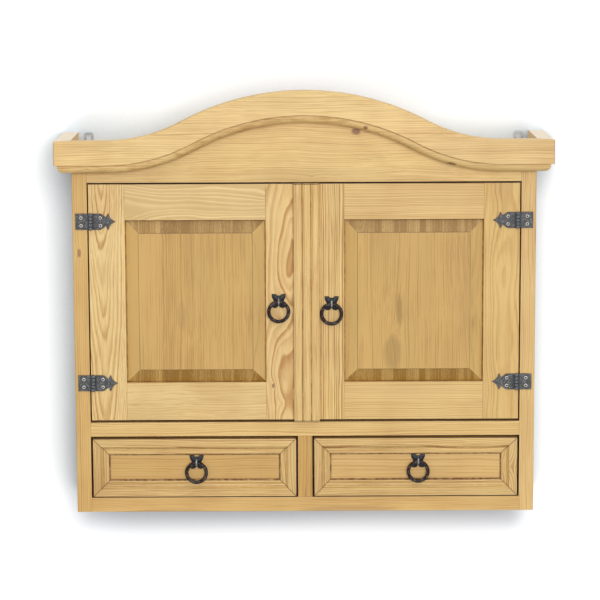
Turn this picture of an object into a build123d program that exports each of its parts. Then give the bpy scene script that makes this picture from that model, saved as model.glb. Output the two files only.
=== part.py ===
from build123d import *
import math
import os

# Wall cabinet in rustic pine: arched cornice, two panelled doors, two drawers, forged iron fittings.
# Millimetres. +Z is up, +X is to the right, and the front faces -Y.
# The origin is on the floor of the overall box, in the middle of its width and depth.

# ---- Carcass ----
overall_width = 920.0
overall_depth = 200.0
board = 28.0                    # thickness of the carcass boards
drawer_opening_height = 116.5
door_opening_height = 451.0
wood_arris = 0.8                # easing on the long edges of every board
outer_arris = 2.6               # heavier easing on the outer edges of the sides
wood_clearance = 0.3            # between wooden pieces that move past each other

# ---- Cornice ----
cornice_board = 30.0            # thickness, and so how far the cornice stands out
cornice_above_doors = 80.0      # its level ends above the door opening
fascia_height = 45.0
quirk = 6.0                     # step from the fascia back to the moulding under it
moulding_height = 14.5
ovolo_radius = 12.0
fascia_arris = 2.5
fascia_lower_arris = 1.0
crest_rise = 91.0
crest_half_span = 365.0
crest_radius = 485.0            # of the convex arc; the concave ones follow from it
tray_depth = 18.5               # from the cornice's level top down to the top board

# ---- Back, shelf, stop and dowels ----
back_thickness = 6.0
back_inset = 2.0                # the panel lies this far inside the wall plane
back_rebate = 6.0               # how far the boards lap over the panel's edges
shelf_thickness = 18.0
shelf_lift = 217.5              # its underside above the middle board
shelf_setback = 22.0            # of its front from the backs of the doors
shelf_end_clearance = 1.0
shelf_pin_diameter = 5.0
shelf_pin_length = 16.0
shelf_pin_inset = 25.0
stop_thickness = 18.0
stop_lap = 15.5                 # how far the stop hangs down behind the doors
dowel_diameter = 8.0
dowel_length = 30.0
dowel_in_board = 12.0           # the part of a dowel sunk in a board's flat side
dowel_inset = 30.0

# ---- Doors ----
door_thickness = 22.0
door_side_gap = 2.0
door_top_gap = 2.0
door_bottom_gap = 3.5
meeting_line = -4.0             # where the doors meet, left of the middle
meeting_gap = 2.0
stile_width = 67.0
meeting_stile_width = {"left": 67.0, "right": 77.0}
top_rail_width = 67.5
bottom_rail_width = 71.5
groove_depth = 9.0
groove_width = 6.0
groove_setback = 9.0            # of the groove's front wall from the door's face
panel_room = 1.0                # for the panel's edges to swell in the groove
panel_clearance = 0.2
panel_bevel = 25.0
field_setback = 1.0             # of the raised field from the door's face
field_step = 1.2

# ---- Meeting strip ----
reed_width = 16.0
reed_projection = 14.0
reed_crown = 3.6
reed_gap = 0.5
reed_overrun = 1.5              # past the door's top and bottom
reed_count = {"left": 1, "right": 2}

# ---- Drawers ----
drawer_side_gap = 2.5
drawer_top_gap = 4.3
drawer_bottom_gap = 0.6
drawer_front_board = 16.0
frame_width = 32.0              # of the mitred moulding on the drawer front
frame_thickness = 8.0
frame_band = 15.5               # its flat outer band
frame_bead = 8.0                # its inner bead
bead_height = 4.5
hollow_floor = 3.0              # wood left at the bottom of the hollow
drawer_side_thickness = 12.0
drawer_side_height = 84.0
drawer_side_inset = 1.0         # of the sides from the ends of the front
drawer_bottom_thickness = 4.0
drawer_bottom_lift = 8.0        # of the drawer bottom above the sides' lower edge
drawer_groove = 5.0
drawer_back_clearance = 0.5

# ---- Ring pulls ----
ring_outer = 43.5
ring_wire = 5.5
eye_clearance = 0.45
eye_wire = 3.0
pull_shank = 4.0
pull_plate_size = 26.6          # width and height of the rose
pull_plate_thickness = 2.0
pull_nut_across = 8.0
pull_nut_thickness = 3.2
pull_shank_end = 1.0            # of the shank past its nut
# The pulls are set by eye, so no two stand quite alike.
door_pull_offset = {"left": 44.2, "right": 54.3}        # from the meeting line
door_pull_height = {"left": 206.7, "right": 202.0}      # of the ring's middle above the door's bottom
drawer_pull_offset = {"left": 3.3, "right": 4.8}        # from the drawer's middle
drawer_pull_drop = {"left": 1.0, "right": 0.3}          # of the rose below the drawer's moulding

# ---- Hinges ----
hinge_height = 30.0
hinge_plate = 2.0
hinge_from_top = 69.5           # middle of the upper hinges below the door's top
hinge_from_bottom = 71.5
hinge_axis_inset = 4.5          # from the door's outer edge
knuckle_diameter = 7.0
knuckle_count = 5
knuckle_gap = 0.3
knuckle_overhang = 0.7          # of the barrel past the leaves at each end
hinge_pin = 3.0
pin_clearance = 0.05
frame_leaf = 28.5               # from the axis to the end of the leaf
door_leaf_body = 19.0           # from the axis to where the arrow's neck starts
door_leaf_neck = 27.8
door_leaf_neck_height = 16.0
door_leaf_barb = 32.5
door_leaf_tip = 46.0
hinge_screw_offset = 17.8
hinge_screw_pitch = 14.5

# ---- Screws, catches and hangers ----
screw_head = 7.0
screw_head_height = 1.8
screw_shank = 3.0
screw_length = 16.0
screw_recess = 0.9              # width of the cross in a screw's head
bore_clearance = 0.05
catch_offset = 38.0             # of each magnet from the cabinet's middle
magnet_diameter = 10.0
magnet_length = 8.0
strike_diameter = 13.0
strike_thickness = 1.5
hanger_width = 17.5
hanger_thickness = 2.0
hanger_drop = 40.0              # let into the side below its top
hanger_slot_width = 9.0
hanger_slot_height = 13.0
hanger_bar = 5.0
hanger_corner = 2.5
hanger_screw_shank = 3.5
hanger_screw_length = 25.0
hanger_screw_drops = (9.0, 29.0)

# ---- Places worked out from the sizes above ----
cornice_front = -overall_depth / 2
wall = overall_depth / 2
front = cornice_front + cornice_board
carcass_half = overall_width / 2 - cornice_board
opening_half = carcass_half - board
back_front = wall - back_inset - back_thickness
drawer_opening_top = board + drawer_opening_height
door_opening_bottom = drawer_opening_top + board
door_opening_top = door_opening_bottom + door_opening_height
cornice_top = door_opening_top + cornice_above_doors
cornice_height = fascia_height + moulding_height
side_height = cornice_top - tray_depth
top_board_bottom = side_height - board
door_bottom = door_opening_bottom + door_bottom_gap
door_top = door_opening_top - door_top_gap
door_back = front + door_thickness
arch_rail_back = door_back + wood_clearance
panel_bottom = door_bottom + bottom_rail_width
panel_top = door_top - top_rail_width
groove_front = front + groove_setback
groove_back = groove_front + groove_width
stop_bottom = door_top - stop_lap
catch_height = door_top - stop_lap / 2
shelf_bottom = door_opening_bottom + shelf_lift
shelf_front = door_back + shelf_setback
shelf_back = back_front - shelf_end_clearance
drawer_bottom_edge = board + drawer_bottom_gap
drawer_top_edge = drawer_opening_top - drawer_top_gap
drawer_face = front + frame_thickness
drawer_front_back = drawer_face + drawer_front_board
drawer_end = back_front - drawer_back_clearance
hinge_heights = (door_bottom + hinge_from_bottom, door_top - hinge_from_top)
hinge_axis_x = opening_half - door_side_gap - hinge_axis_inset
hinge_axis_y = front - knuckle_diameter / 2 - wood_clearance
hanger_x = opening_half + hanger_width / 2
hanger_top = side_height + hanger_slot_height + hanger_bar
ring_radius = (ring_outer - ring_wire) / 2
eye_radius = ring_wire / 2 + eye_clearance + eye_wire / 2
eye_standoff = pull_plate_thickness + eye_radius + eye_wire / 2
hand = {"left": -1, "right": 1}


# ---- Helpers ----
def block(x, y, z):
    """A box between two values on each axis, given in either order."""
    low = [min(pair) for pair in (x, y, z)]
    size = [max(pair) - min(pair) for pair in (x, y, z)]
    return Pos(*low) * Box(*size, align=Align.MIN)


def rod(radius, start, end):
    """A round bar from one point to another."""
    start = Vector(*start)
    along = Vector(*end) - start
    bar = Cylinder(radius, along.length, align=(Align.CENTER, Align.CENTER, Align.MIN))
    return Plane(start, z_dir=along) * bar


def ease(part, axis, radius, *places):
    """Round the long edges of a board along an axis, at each pair of coordinates across it."""
    across = {Axis.X: "YZ", Axis.Y: "XZ", Axis.Z: "XY"}[axis]

    def is_wanted(edge):
        middle = edge.center()
        found = (getattr(middle, across[0]), getattr(middle, across[1]))
        return any(math.dist(found, place) < 0.01 for place in places)

    return fillet([edge for edge in part.edges().filter_by(axis) if is_wanted(edge)], radius)


def prism(outline, y, depth):
    """A closed outline in X and Z, made solid backwards from the given Y."""
    return Pos(0, y, 0) * extrude(Plane.XZ * make_face(outline), amount=-depth)


def on_side(part, side):
    """A piece drawn for the right-hand side, or its mirror image for the left."""
    return part if side == "right" else mirror(part, about=Plane.YZ)


def group(pieces):
    """Several solids that share a node."""
    return Compound(children=[solid for piece in pieces for solid in piece.solids()])


def less(part, cutters):
    """A piece with holes and grooves taken out of it."""
    for cutter in cutters:
        part = part - cutter
    return part


# ---- Cornice ----
def crest_line(drop, half_width):
    """The crest curve lowered squarely to itself: level ends, two hollow arcs and the round top."""
    turn = 2 * math.atan(crest_rise / crest_half_span)
    hollow_radius = crest_half_span / math.sin(turn) - crest_radius + drop
    round_radius = crest_radius - drop
    round_centre = cornice_top + crest_rise - crest_radius
    level = cornice_top - drop
    meet_x = round_radius * math.sin(turn)
    meet_z = round_centre + round_radius * math.cos(turn)
    halfway_x = crest_half_span - hollow_radius * math.sin(turn / 2)
    halfway_z = level + hollow_radius * (1 - math.cos(turn / 2))
    hollows = [
        ThreePointArc((s * crest_half_span, level), (s * halfway_x, halfway_z), (s * meet_x, meet_z))
        for s in (-1, 1)
    ]
    levels = [Line((s * half_width, level), (s * crest_half_span, level)) for s in (-1, 1)]
    crown = ThreePointArc((-meet_x, meet_z), (0, round_centre + round_radius), (meet_x, meet_z))
    return levels + hollows + [crown]


def crest_band(upper_drop, lower_drop, half_width, y, depth):
    """A board between two lowered crest curves."""
    ends = [
        Line((x, cornice_top - lower_drop), (x, cornice_top - upper_drop))
        for x in (-half_width, half_width)
    ]
    return prism(crest_line(upper_drop, half_width) + crest_line(lower_drop, half_width) + ends, y, depth)


def crest_edges(part, drop, half_width):
    """Edges of a board's front face that follow the crest lowered by the given drop."""
    middles = [line.position_at(0.5) for line in crest_line(drop, half_width)]

    def follows_crest(edge):
        middle = edge.position_at(0.5)
        return any(math.dist((middle.X, middle.Z), (point.X, point.Y)) < 0.01 for point in middles)

    face = part.faces().filter_by(Axis.Y).sort_by(Axis.Y)[0]
    return [edge for edge in face.edges() if follows_crest(edge)]


def mitre_half(side, outboard):
    """Everything on one side of the mitre plane at a front corner of the cornice."""
    reach = 4 * cornice_board
    tall = cornice_top + crest_rise
    across = Align.MIN if outboard else Align.MAX
    half = Box(reach, 2 * reach, tall, align=(across, Align.CENTER, Align.MIN))
    return on_side(Pos(overall_width / 2, cornice_front, 0) * Rot(0, 0, 45) * half, side)


def corner_rounding(side):
    """What rounding takes from the upright corner of the cornice."""
    x = overall_width / 2 - fascia_arris
    y = cornice_front + fascia_arris
    corner = block((x, x + 2 * fascia_arris), (y - 2 * fascia_arris, y), (0, cornice_top))
    return on_side(corner - rod(fascia_arris, (x, y, 0), (x, y, cornice_top)), side)


def make_cornice_front():
    """Arched fascia board with an ovolo worked along its lower edge, mitred at both ends."""
    half_width = overall_width / 2 + cornice_board
    fascia = crest_band(0, fascia_height, half_width, cornice_front, cornice_board)
    fascia = fillet(crest_edges(fascia, 0, half_width), fascia_arris)
    fascia = fillet(crest_edges(fascia, fascia_height, half_width), fascia_lower_arris)
    moulding_face = cornice_front + quirk
    moulding = crest_band(fascia_height, cornice_height, half_width, moulding_face, front - moulding_face)
    moulding = fillet(crest_edges(moulding, cornice_height, half_width), ovolo_radius)
    ends = [mitre_half(side, outboard=True) for side in hand] + [corner_rounding(side) for side in hand]
    return less(fascia + moulding, ends)


def make_cornice_return(side):
    """Side board of the cornice with the same moulding, from its mitre back to the wall."""
    outer = overall_width / 2
    fascia_bottom = cornice_top - fascia_height
    fascia = block((carcass_half, outer), (cornice_front, wall), (fascia_bottom, cornice_top))
    fascia = ease(fascia, Axis.Y, fascia_arris, (outer, cornice_top))
    fascia = ease(fascia, Axis.Y, fascia_lower_arris, (outer, fascia_bottom))
    moulding_bottom = cornice_top - cornice_height
    moulding = block((carcass_half, outer - quirk), (cornice_front, wall), (moulding_bottom, fascia_bottom))
    moulding = ease(moulding, Axis.Y, ovolo_radius, (outer - quirk, moulding_bottom))
    return less(on_side(fascia + moulding, side), [mitre_half(side, outboard=False), corner_rounding(side)])


# ---- Fixings ----
stand = (Align.CENTER, Align.CENTER, Align.MIN)


def cross_recess(head_top):
    """The cross that a driver needs in a screw's head, sunk from the given height."""
    bars = [Rot(0, 0, turn) * Box(screw_head / 2, screw_recess, screw_head_height) for turn in (0, 90)]
    return Pos(0, 0, head_top) * (bars[0] + bars[1])


def round_head_screw(x, y, z):
    """Wood screw with a domed head, driven backwards from the given place."""
    head_radius = screw_head / 2
    ball_radius = (head_radius**2 + screw_head_height**2) / (2 * screw_head_height)
    ball = Pos(0, 0, ball_radius - screw_head_height) * Sphere(ball_radius)
    dome = ball & Pos(0, 0, -screw_head_height) * Box(screw_head, screw_head, screw_head_height, align=stand)
    body = Cylinder(screw_shank / 2, screw_length, align=stand) + dome - cross_recess(-screw_head_height)
    return Plane((x, y, z), z_dir=(0, 1, 0)) * body


def countersunk_blank(x, z):
    """Outline of a hanger's screw, driven forwards from the wall plane, with no cross in it."""
    cone = Cone(screw_head / 2, hanger_screw_shank / 2, hanger_thickness, align=stand)
    body = Cylinder(hanger_screw_shank / 2, hanger_screw_length, align=stand) + cone
    return Plane((x, wall, z), z_dir=(0, -1, 0)) * body


def hanger_screw_blanks(side):
    return [countersunk_blank(hand[side] * hanger_x, side_height - drop) for drop in hanger_screw_drops]


def hanger_screws(side):
    cross = Plane((0, wall, 0), z_dir=(0, -1, 0)) * cross_recess(0)
    places = [(hand[side] * hanger_x, side_height - drop) for drop in hanger_screw_drops]
    return [blank - Pos(x, 0, z) * cross for blank, (x, z) in zip(hanger_screw_blanks(side), places)]


def hinge_screw_places(side, leaf):
    """Where the screws of one side's frame or door leaves stand, as X and Z."""
    away = 1 if leaf == "frame" else -1
    x = hand[side] * (hinge_axis_x + away * hinge_screw_offset)
    return [(x, z + v * hinge_screw_pitch / 2) for z in hinge_heights for v in (-1, 1)]


def hinge_screws(side, leaf):
    return [round_head_screw(x, front - hinge_plate, z) for x, z in hinge_screw_places(side, leaf)]


def screw_bores(side, leaf):
    """Bores for the hinge screws in the wood, which pass the leaves too."""
    radius = screw_shank / 2 + bore_clearance
    start = front - 2 * hinge_plate
    end = front - hinge_plate + screw_length + bore_clearance
    return [rod(radius, (x, start, z), (x, end, z)) for x, z in hinge_screw_places(side, leaf)]


def dowel_lines():
    """Both ends of each dowel that holds the carcass boards together."""
    lines = []
    in_side = opening_half + dowel_in_board
    ways_back = (front + dowel_inset, back_front - dowel_inset)
    for s in hand.values():
        for z in (board / 2, drawer_opening_top + board / 2, top_board_bottom + board / 2):
            lines += [((s * in_side, y, z), (s * (in_side - dowel_length), y, z)) for y in ways_back]
    for y in ways_back:
        low = board - dowel_in_board
        high = drawer_opening_top + dowel_in_board
        lines += [((0, y, low), (0, y, low + dowel_length)), ((0, y, high), (0, y, high - dowel_length))]
    return lines


def shelf_pin_lines():
    """Both ends of each pin under the shelf."""
    z = shelf_bottom - shelf_pin_diameter / 2
    half = shelf_pin_length / 2
    return [
        ((s * (opening_half + half), y, z), (s * (opening_half - half), y, z))
        for s in hand.values() for y in (shelf_front + shelf_pin_inset, shelf_back - shelf_pin_inset)
    ]


def make_hanger(side):
    """Zinc plate let into the back edge of a side, with a loop standing above it."""
    edge = (wall - hanger_thickness, wall)
    plate = block((opening_half, opening_half + hanger_width), edge, (side_height - hanger_drop, hanger_top))
    corners = [edge for edge in plate.edges().filter_by(Axis.Y) if edge.center().Z > side_height]
    plate = fillet(corners, 2 * hanger_corner)
    slot_half = hanger_slot_width / 2
    slot = block((hanger_x - slot_half, hanger_x + slot_half), edge, (side_height, hanger_top - hanger_bar))
    slot = fillet(slot.edges().filter_by(Axis.Y), hanger_corner)
    return less(on_side(plate - slot, side), hanger_screw_blanks(side))


# ---- Carcass ----
back_rebate_space = block(
    (-opening_half - back_rebate, opening_half + back_rebate), (back_front, wall),
    (board - back_rebate, top_board_bottom + back_rebate))
dowel_bores = [rod(dowel_diameter / 2 + bore_clearance, *line) for line in dowel_lines()]


def make_side(side):
    """Upright side board, rebated for the back and bored for its fixings."""
    blank = block((opening_half, carcass_half), (front, wall), (0, side_height))
    blank = ease(blank, Axis.Z, outer_arris, (carcass_half, front))
    blank = ease(blank, Axis.Z, wood_arris, (opening_half, front))
    recess = block((opening_half, opening_half + hanger_width), (wall - hanger_thickness, wall),
                   (side_height - hanger_drop, side_height))
    pin_bores = [rod(shelf_pin_diameter / 2 + bore_clearance, *line) for line in shelf_pin_lines()]
    blank = on_side(blank - recess, side) - back_rebate_space
    return less(blank, dowel_bores + pin_bores + screw_bores(side, "frame") + hanger_screw_blanks(side))


def make_cross_board(bottom, back):
    """Level board between the sides, eased where its front edge meets the openings."""
    blank = block((-opening_half, opening_half), (front, back), (bottom, bottom + board))
    blank = ease(blank, Axis.X, wood_arris, (front, bottom), (front, bottom + board))
    return less(blank, dowel_bores + [back_rebate_space])


def make_top_board():
    blank = block((-opening_half, opening_half), (arch_rail_back, wall), (top_board_bottom, side_height))
    return less(blank, dowel_bores + [back_rebate_space])


def make_divider():
    blank = block((-board / 2, board / 2), (front, back_front), (board, drawer_opening_top))
    blank = ease(blank, Axis.Z, wood_arris, (-board / 2, front), (board / 2, front))
    return less(blank, dowel_bores)


def make_arch_rail():
    """Board over the doors, between the sides, that backs the cornice up to its arch."""
    corners = [(s * opening_half, z) for s, z in ((-1, cornice_top - tray_depth), (-1, door_opening_top),
                                                  (1, door_opening_top), (1, cornice_top - tray_depth))]
    lower = [Line(corners[i], corners[i + 1]) for i in range(3)]
    rail = prism(crest_line(tray_depth, opening_half) + lower, front, arch_rail_back - front)
    return ease(rail, Axis.X, wood_arris, (front, door_opening_top))


def make_door_stop():
    """Batten under the top board that both doors close against, bored for the magnets."""
    across = (arch_rail_back, arch_rail_back + stop_thickness)
    batten = block((-opening_half, opening_half), across, (stop_bottom, top_board_bottom))
    return less(batten, catch_rods(magnet_diameter / 2 + bore_clearance))


def catch_rods(radius):
    end = arch_rail_back + magnet_length
    return [rod(radius, (x, arch_rail_back, catch_height), (x, end, catch_height))
            for x in (-catch_offset, catch_offset)]


def make_back_panel():
    half = opening_half + back_rebate
    across = (back_front, back_front + back_thickness)
    return block((-half, half), across, (board - back_rebate, top_board_bottom + back_rebate))


def make_shelf():
    half = opening_half - shelf_end_clearance
    top = shelf_bottom + shelf_thickness
    shelf = block((-half, half), (shelf_front, shelf_back), (shelf_bottom, top))
    return ease(shelf, Axis.X, 2 * wood_arris, (shelf_front, shelf_bottom), (shelf_front, top))


# ---- Hinges ----
def leaf_outline(leaf):
    """Outline of a hinge leaf as distances from the axis and from its middle height."""
    start = knuckle_diameter / 2 + knuckle_gap
    half = hinge_height / 2
    if leaf == "frame":
        corners = [(start, -half), (frame_leaf, -half), (frame_leaf, half), (start, half)]
        return Polyline(*corners, close=True).edges()
    neck = door_leaf_neck_height / 2
    shoulder = ((door_leaf_body + 2 * door_leaf_neck) / 3, (2 * half + neck) / 3)
    cheek = ((door_leaf_barb + door_leaf_tip) / 2, 0.56 * half)
    lines = [Line((start, -half), (start, half))]
    for v in (-1, 1):
        lines += [
            Line((start, v * half), (door_leaf_body, v * half)),
            ThreePointArc((door_leaf_body, v * half), (shoulder[0], v * shoulder[1]),
                          (door_leaf_neck, v * neck)),
            Line((door_leaf_neck, v * neck), (door_leaf_barb, v * half)),
            ThreePointArc((door_leaf_barb, v * half), (cheek[0], v * cheek[1]), (door_leaf_tip, 0)),
        ]
    return lines


def hinge_leaf(side, leaf, z):
    """Iron leaf with its share of the knuckles: the outer ones on the frame, the others on the door."""
    plate = prism(leaf_outline(leaf), front - hinge_plate, hinge_plate)
    pitch = (hinge_height + 2 * knuckle_overhang) / knuckle_count
    bottom = -hinge_height / 2 - knuckle_overhang
    radius = knuckle_diameter / 2
    first = 0 if leaf == "frame" else 1
    for i in range(first, knuckle_count, 2):
        low = bottom + i * pitch + (knuckle_gap / 2 if i else 0)
        high = bottom + (i + 1) * pitch - (knuckle_gap / 2 if i < knuckle_count - 1 else 0)
        strap_low, strap_high = max(low, -hinge_height / 2), min(high, hinge_height / 2)
        plate += block((0, radius + knuckle_gap), (front - hinge_plate, front), (strap_low, strap_high))
        plate += rod(radius, (0, hinge_axis_y, low), (0, hinge_axis_y, high))
    tall = hinge_height
    plate -= rod(hinge_pin / 2 + pin_clearance, (0, hinge_axis_y, -tall), (0, hinge_axis_y, tall))
    if leaf == "door":
        plate = mirror(plate, about=Plane.YZ)
    placed = on_side(Pos(hinge_axis_x, 0, z) * plate, side)
    return less(placed, screw_bores(side, leaf))


def hinge_pin_rod(side, z):
    x = hand[side] * hinge_axis_x
    half = hinge_height / 2 + knuckle_overhang
    return rod(hinge_pin / 2, (x, hinge_axis_y, z - half), (x, hinge_axis_y, z + half))


# ---- Ring pulls ----
def pull_plate_outline():
    """Butterfly rose: two square-cornered upper wings, two round lower ones, notched between."""
    half = pull_plate_size / 2
    lines = []
    for s in (-1, 1):
        points = [(0, 0.6 * half), (s * 0.36 * half, half), (s * half, half),
                  (s * 0.62 * half, 0.02 * half), (s * 0.9 * half, -0.3 * half)]
        lines += [Line(points[i], points[i + 1]) for i in range(4)]
        lines += [
            ThreePointArc(points[4], (s * 0.72 * half, -0.98 * half), (s * 0.34 * half, -half)),
            Line((s * 0.34 * half, -half), (0, -0.68 * half)),
        ]
    return lines


def pull_bore(x, z, face, thickness):
    """Bore for a pull's shank through the wood behind it."""
    return rod(pull_shank / 2 + bore_clearance, (x, face - 2 * eye_standoff / 3, z), (x, face + thickness, z))


def pull_mount(x, z, face, thickness):
    """Rose, eye bolt and nut of a pull; z is the height of the eye."""
    bore = pull_bore(x, z, face, thickness + 2 * pull_nut_thickness)
    plate = prism(pull_plate_outline(), 0, pull_plate_thickness)
    plate = Pos(x, face - pull_plate_thickness, z) * plate - bore
    eye_y = face - eye_standoff
    eye = Pos(x, eye_y, z) * Rot(0, 90, 0) * Torus(eye_radius, eye_wire / 2)
    shank_end = face + thickness + pull_nut_thickness + pull_shank_end
    eye += rod(pull_shank / 2, (x, eye_y + eye_radius, z), (x, shank_end, z))
    hexagon = RegularPolygon(pull_nut_across / 2, 6, major_radius=False)
    nut = Pos(x, face + thickness, z) * extrude(Plane.XZ * hexagon, amount=-pull_nut_thickness) - bore
    return [plate, eye, nut]


def pull_ring(x, z, face):
    """Iron ring hanging from its eye; z is the height of the eye."""
    return Pos(x, face - eye_standoff, z - ring_radius) * Rot(90, 0, 0) * Torus(ring_radius, ring_wire / 2)


# ---- Doors ----
def make_panel(x, z):
    """Raised panel: a thin tongue in the grooves, bevels on four sides, and a flat field."""
    hidden = groove_depth - panel_room
    tongue = (groove_front + panel_clearance, groove_back)
    panel = block((x[0] - hidden, x[1] + hidden), tongue, (z[0] - hidden, z[1] + hidden))
    field_base = front + field_setback + field_step
    middle = ((x[0] + x[1]) / 2, (z[0] + z[1]) / 2)
    width, height = x[1] - x[0], z[1] - z[0]
    sections = [
        Plane((middle[0], y, middle[1]), x_dir=(1, 0, 0), z_dir=(0, -1, 0))
        * Rectangle(width - 2 * inset, height - 2 * inset)
        for y, inset in ((tongue[0], 0), (field_base, panel_bevel))
    ]
    panel += loft(sections, ruled=True)
    field_x = (x[0] + panel_bevel, x[1] - panel_bevel)
    field_z = (z[0] + panel_bevel, z[1] - panel_bevel)
    return panel + block(field_x, (front + field_setback, field_base), field_z)


def make_stile(outer, inner, bores):
    """Upright of a door, grooved along its inner edge; outer and inner are its X limits."""
    stile = block((outer, inner), (front, door_back), (door_bottom, door_top))
    stile = ease(stile, Axis.Z, wood_arris, (outer, front), (inner, front))
    groove_end = inner + math.copysign(groove_depth, outer - inner)
    groove = block((inner, groove_end), (groove_front, groove_back), (door_bottom, door_top))
    return less(stile, bores + [groove])


def make_rail(x, z, groove_z):
    """Level member of a door with a tongue at each end and a groove for the panel."""
    rail = block(x, (front, door_back), z)
    rail = ease(rail, Axis.X, wood_arris, (front, z[0]), (front, z[1]))
    reach = groove_depth - wood_clearance
    rail += block((x[0] - reach, x[1] + reach), (groove_front, groove_back), z)
    groove = block((x[0] - groove_depth, x[1] + groove_depth), (groove_front, groove_back), groove_z)
    return rail - groove


def make_reeds(side):
    """One door's share of the reeded strip over the meeting of the doors."""
    s = hand[side]
    base = front - reed_projection + reed_crown
    ends = [meeting_line + s * (i + 1) * reed_width for i in range(reed_count[side])]
    starts = [meeting_line + s * reed_gap / 2] + ends[:-1]
    arcs = [
        ThreePointArc((a, base), ((a + b) / 2, base - reed_crown), (b, base)) for a, b in zip(starts, ends)
    ]
    sides = [Line((x, base), (x, front)) for x in (starts[0], ends[-1])]
    back = Line((starts[0], front), (ends[-1], front))
    length = door_top - door_bottom + 2 * reed_overrun
    return Pos(0, 0, door_bottom - reed_overrun) * extrude(make_face(arcs + sides + [back]), amount=length)


def make_door(side):
    """All pieces of one door, by name."""
    s = hand[side]
    outer = s * (opening_half - door_side_gap)
    meeting = meeting_line + s * meeting_gap / 2
    panel_x = sorted((outer - s * stile_width, meeting + s * meeting_stile_width[side]))
    hinge_side, meeting_side = (panel_x[0], panel_x[1]) if side == "left" else (panel_x[1], panel_x[0])
    pull_x = meeting_line + s * door_pull_offset[side]
    pull_z = door_bottom + door_pull_height[side] + ring_radius
    strike_x = s * catch_offset
    strike_ends = [(strike_x, y, catch_height) for y in (door_back - strike_thickness, door_back)]
    meeting_bores = [
        pull_bore(pull_x, pull_z, front, door_thickness),
        rod(strike_diameter / 2 + bore_clearance, *strike_ends),
    ]
    top_groove = (panel_top, panel_top + groove_depth)
    bottom_groove = (panel_bottom - groove_depth, panel_bottom)
    return {
        "hinge_stile": make_stile(outer, hinge_side, screw_bores(side, "door")),
        "meeting_stile": make_stile(meeting, meeting_side, meeting_bores),
        "top_rail": make_rail(panel_x, (panel_top, door_top), top_groove),
        "bottom_rail": make_rail(panel_x, (door_bottom, panel_bottom), bottom_groove),
        "panel": make_panel(panel_x, (panel_bottom, panel_top)),
        "meeting_reeds": make_reeds(side),
        "hinge_leaves": group(hinge_leaf(side, "door", z) for z in hinge_heights),
        "hinge_screws": group(hinge_screws(side, "door")),
        "catch_strike": rod(strike_diameter / 2, *strike_ends),
        "pull_mount": group(pull_mount(pull_x, pull_z, front, door_thickness)),
        "pull_ring": pull_ring(pull_x, pull_z, front),
    }


# ---- Drawers ----
def frame_member(corner, along, length):
    """One mitred length of the drawer front's moulding, from an outer corner anticlockwise."""
    top = frame_thickness
    hollow_end = frame_width - frame_bead
    hollow_middle = (frame_band + 0.35 * (hollow_end - frame_band), hollow_floor + 0.2 * (top - hollow_floor))
    profile = [
        Line((0, 0), (0, top - wood_arris)),
        ThreePointArc((0, top - wood_arris), (0.3 * wood_arris, top - 0.3 * wood_arris), (wood_arris, top)),
        Line((wood_arris, top), (frame_band, top)),
        ThreePointArc((frame_band, top), hollow_middle, (hollow_end, hollow_floor)),
        ThreePointArc((hollow_end, hollow_floor), (hollow_end + 0.45 * frame_bead, bead_height),
                      (frame_width, 0.25 * bead_height)),
        Line((frame_width, 0.25 * bead_height), (frame_width, 0)),
        Line((frame_width, 0), (0, 0)),
    ]
    bar = extrude(Plane.YZ * make_face(profile), amount=length)
    inner_length = (frame_width, length - frame_width)
    corners = [(0, 0), (length, 0), (inner_length[1], frame_width), (inner_length[0], frame_width)]
    bar &= extrude(make_face(Polyline(*corners, close=True)), amount=frame_thickness)
    return Plane((corner[0], drawer_face, corner[1]), x_dir=along, z_dir=(0, -1, 0)) * bar


def make_drawer(side):
    """All pieces of one drawer, by name, with the moulding as four mitred lengths."""
    s = hand[side]
    low, high = sorted((s * (board / 2 + drawer_side_gap), s * (opening_half - drawer_side_gap)))
    width, height = high - low, drawer_top_edge - drawer_bottom_edge
    frame = [
        frame_member((low, drawer_bottom_edge), (1, 0, 0), width),
        frame_member((high, drawer_bottom_edge), (0, 0, 1), height),
        frame_member((high, drawer_top_edge), (-1, 0, 0), width),
        frame_member((low, drawer_top_edge), (0, 0, -1), height),
    ]
    pull_x = (low + high) / 2 + drawer_pull_offset[side]
    pull_z = drawer_top_edge - frame_width - drawer_pull_drop[side] - pull_plate_size / 2
    box_x = (low + drawer_side_inset, high - drawer_side_inset)
    inside_x = (box_x[0] + drawer_side_thickness, box_x[1] - drawer_side_thickness)
    inside_y = (drawer_front_back, drawer_end - drawer_side_thickness)
    box_z = (board + wood_clearance, board + wood_clearance + drawer_side_height)
    floor_z = (box_z[0] + drawer_bottom_lift, box_z[0] + drawer_bottom_lift + drawer_bottom_thickness)
    groove, bottom = [
        block((inside_x[0] - reach, inside_x[1] + reach), (inside_y[0] - reach, inside_y[1] + reach), floor_z)
        for reach in (drawer_groove, drawer_groove - wood_clearance)
    ]
    front_board = block((low, high), (drawer_face, drawer_front_back), (drawer_bottom_edge, drawer_top_edge))
    cuts = [groove, pull_bore(pull_x, pull_z, drawer_face, drawer_front_board)]
    return {
        "front": less(front_board, cuts),
        "moulding": group(frame),
        "side_left": block((box_x[0], inside_x[0]), (drawer_front_back, drawer_end), box_z) - groove,
        "side_right": block((inside_x[1], box_x[1]), (drawer_front_back, drawer_end), box_z) - groove,
        "back": block(inside_x, (inside_y[1], drawer_end), box_z) - groove,
        "bottom": bottom,
        "pull_mount": group(pull_mount(pull_x, pull_z, drawer_face, drawer_front_board)),
        "pull_ring": pull_ring(pull_x, pull_z, drawer_face),
    }


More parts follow.
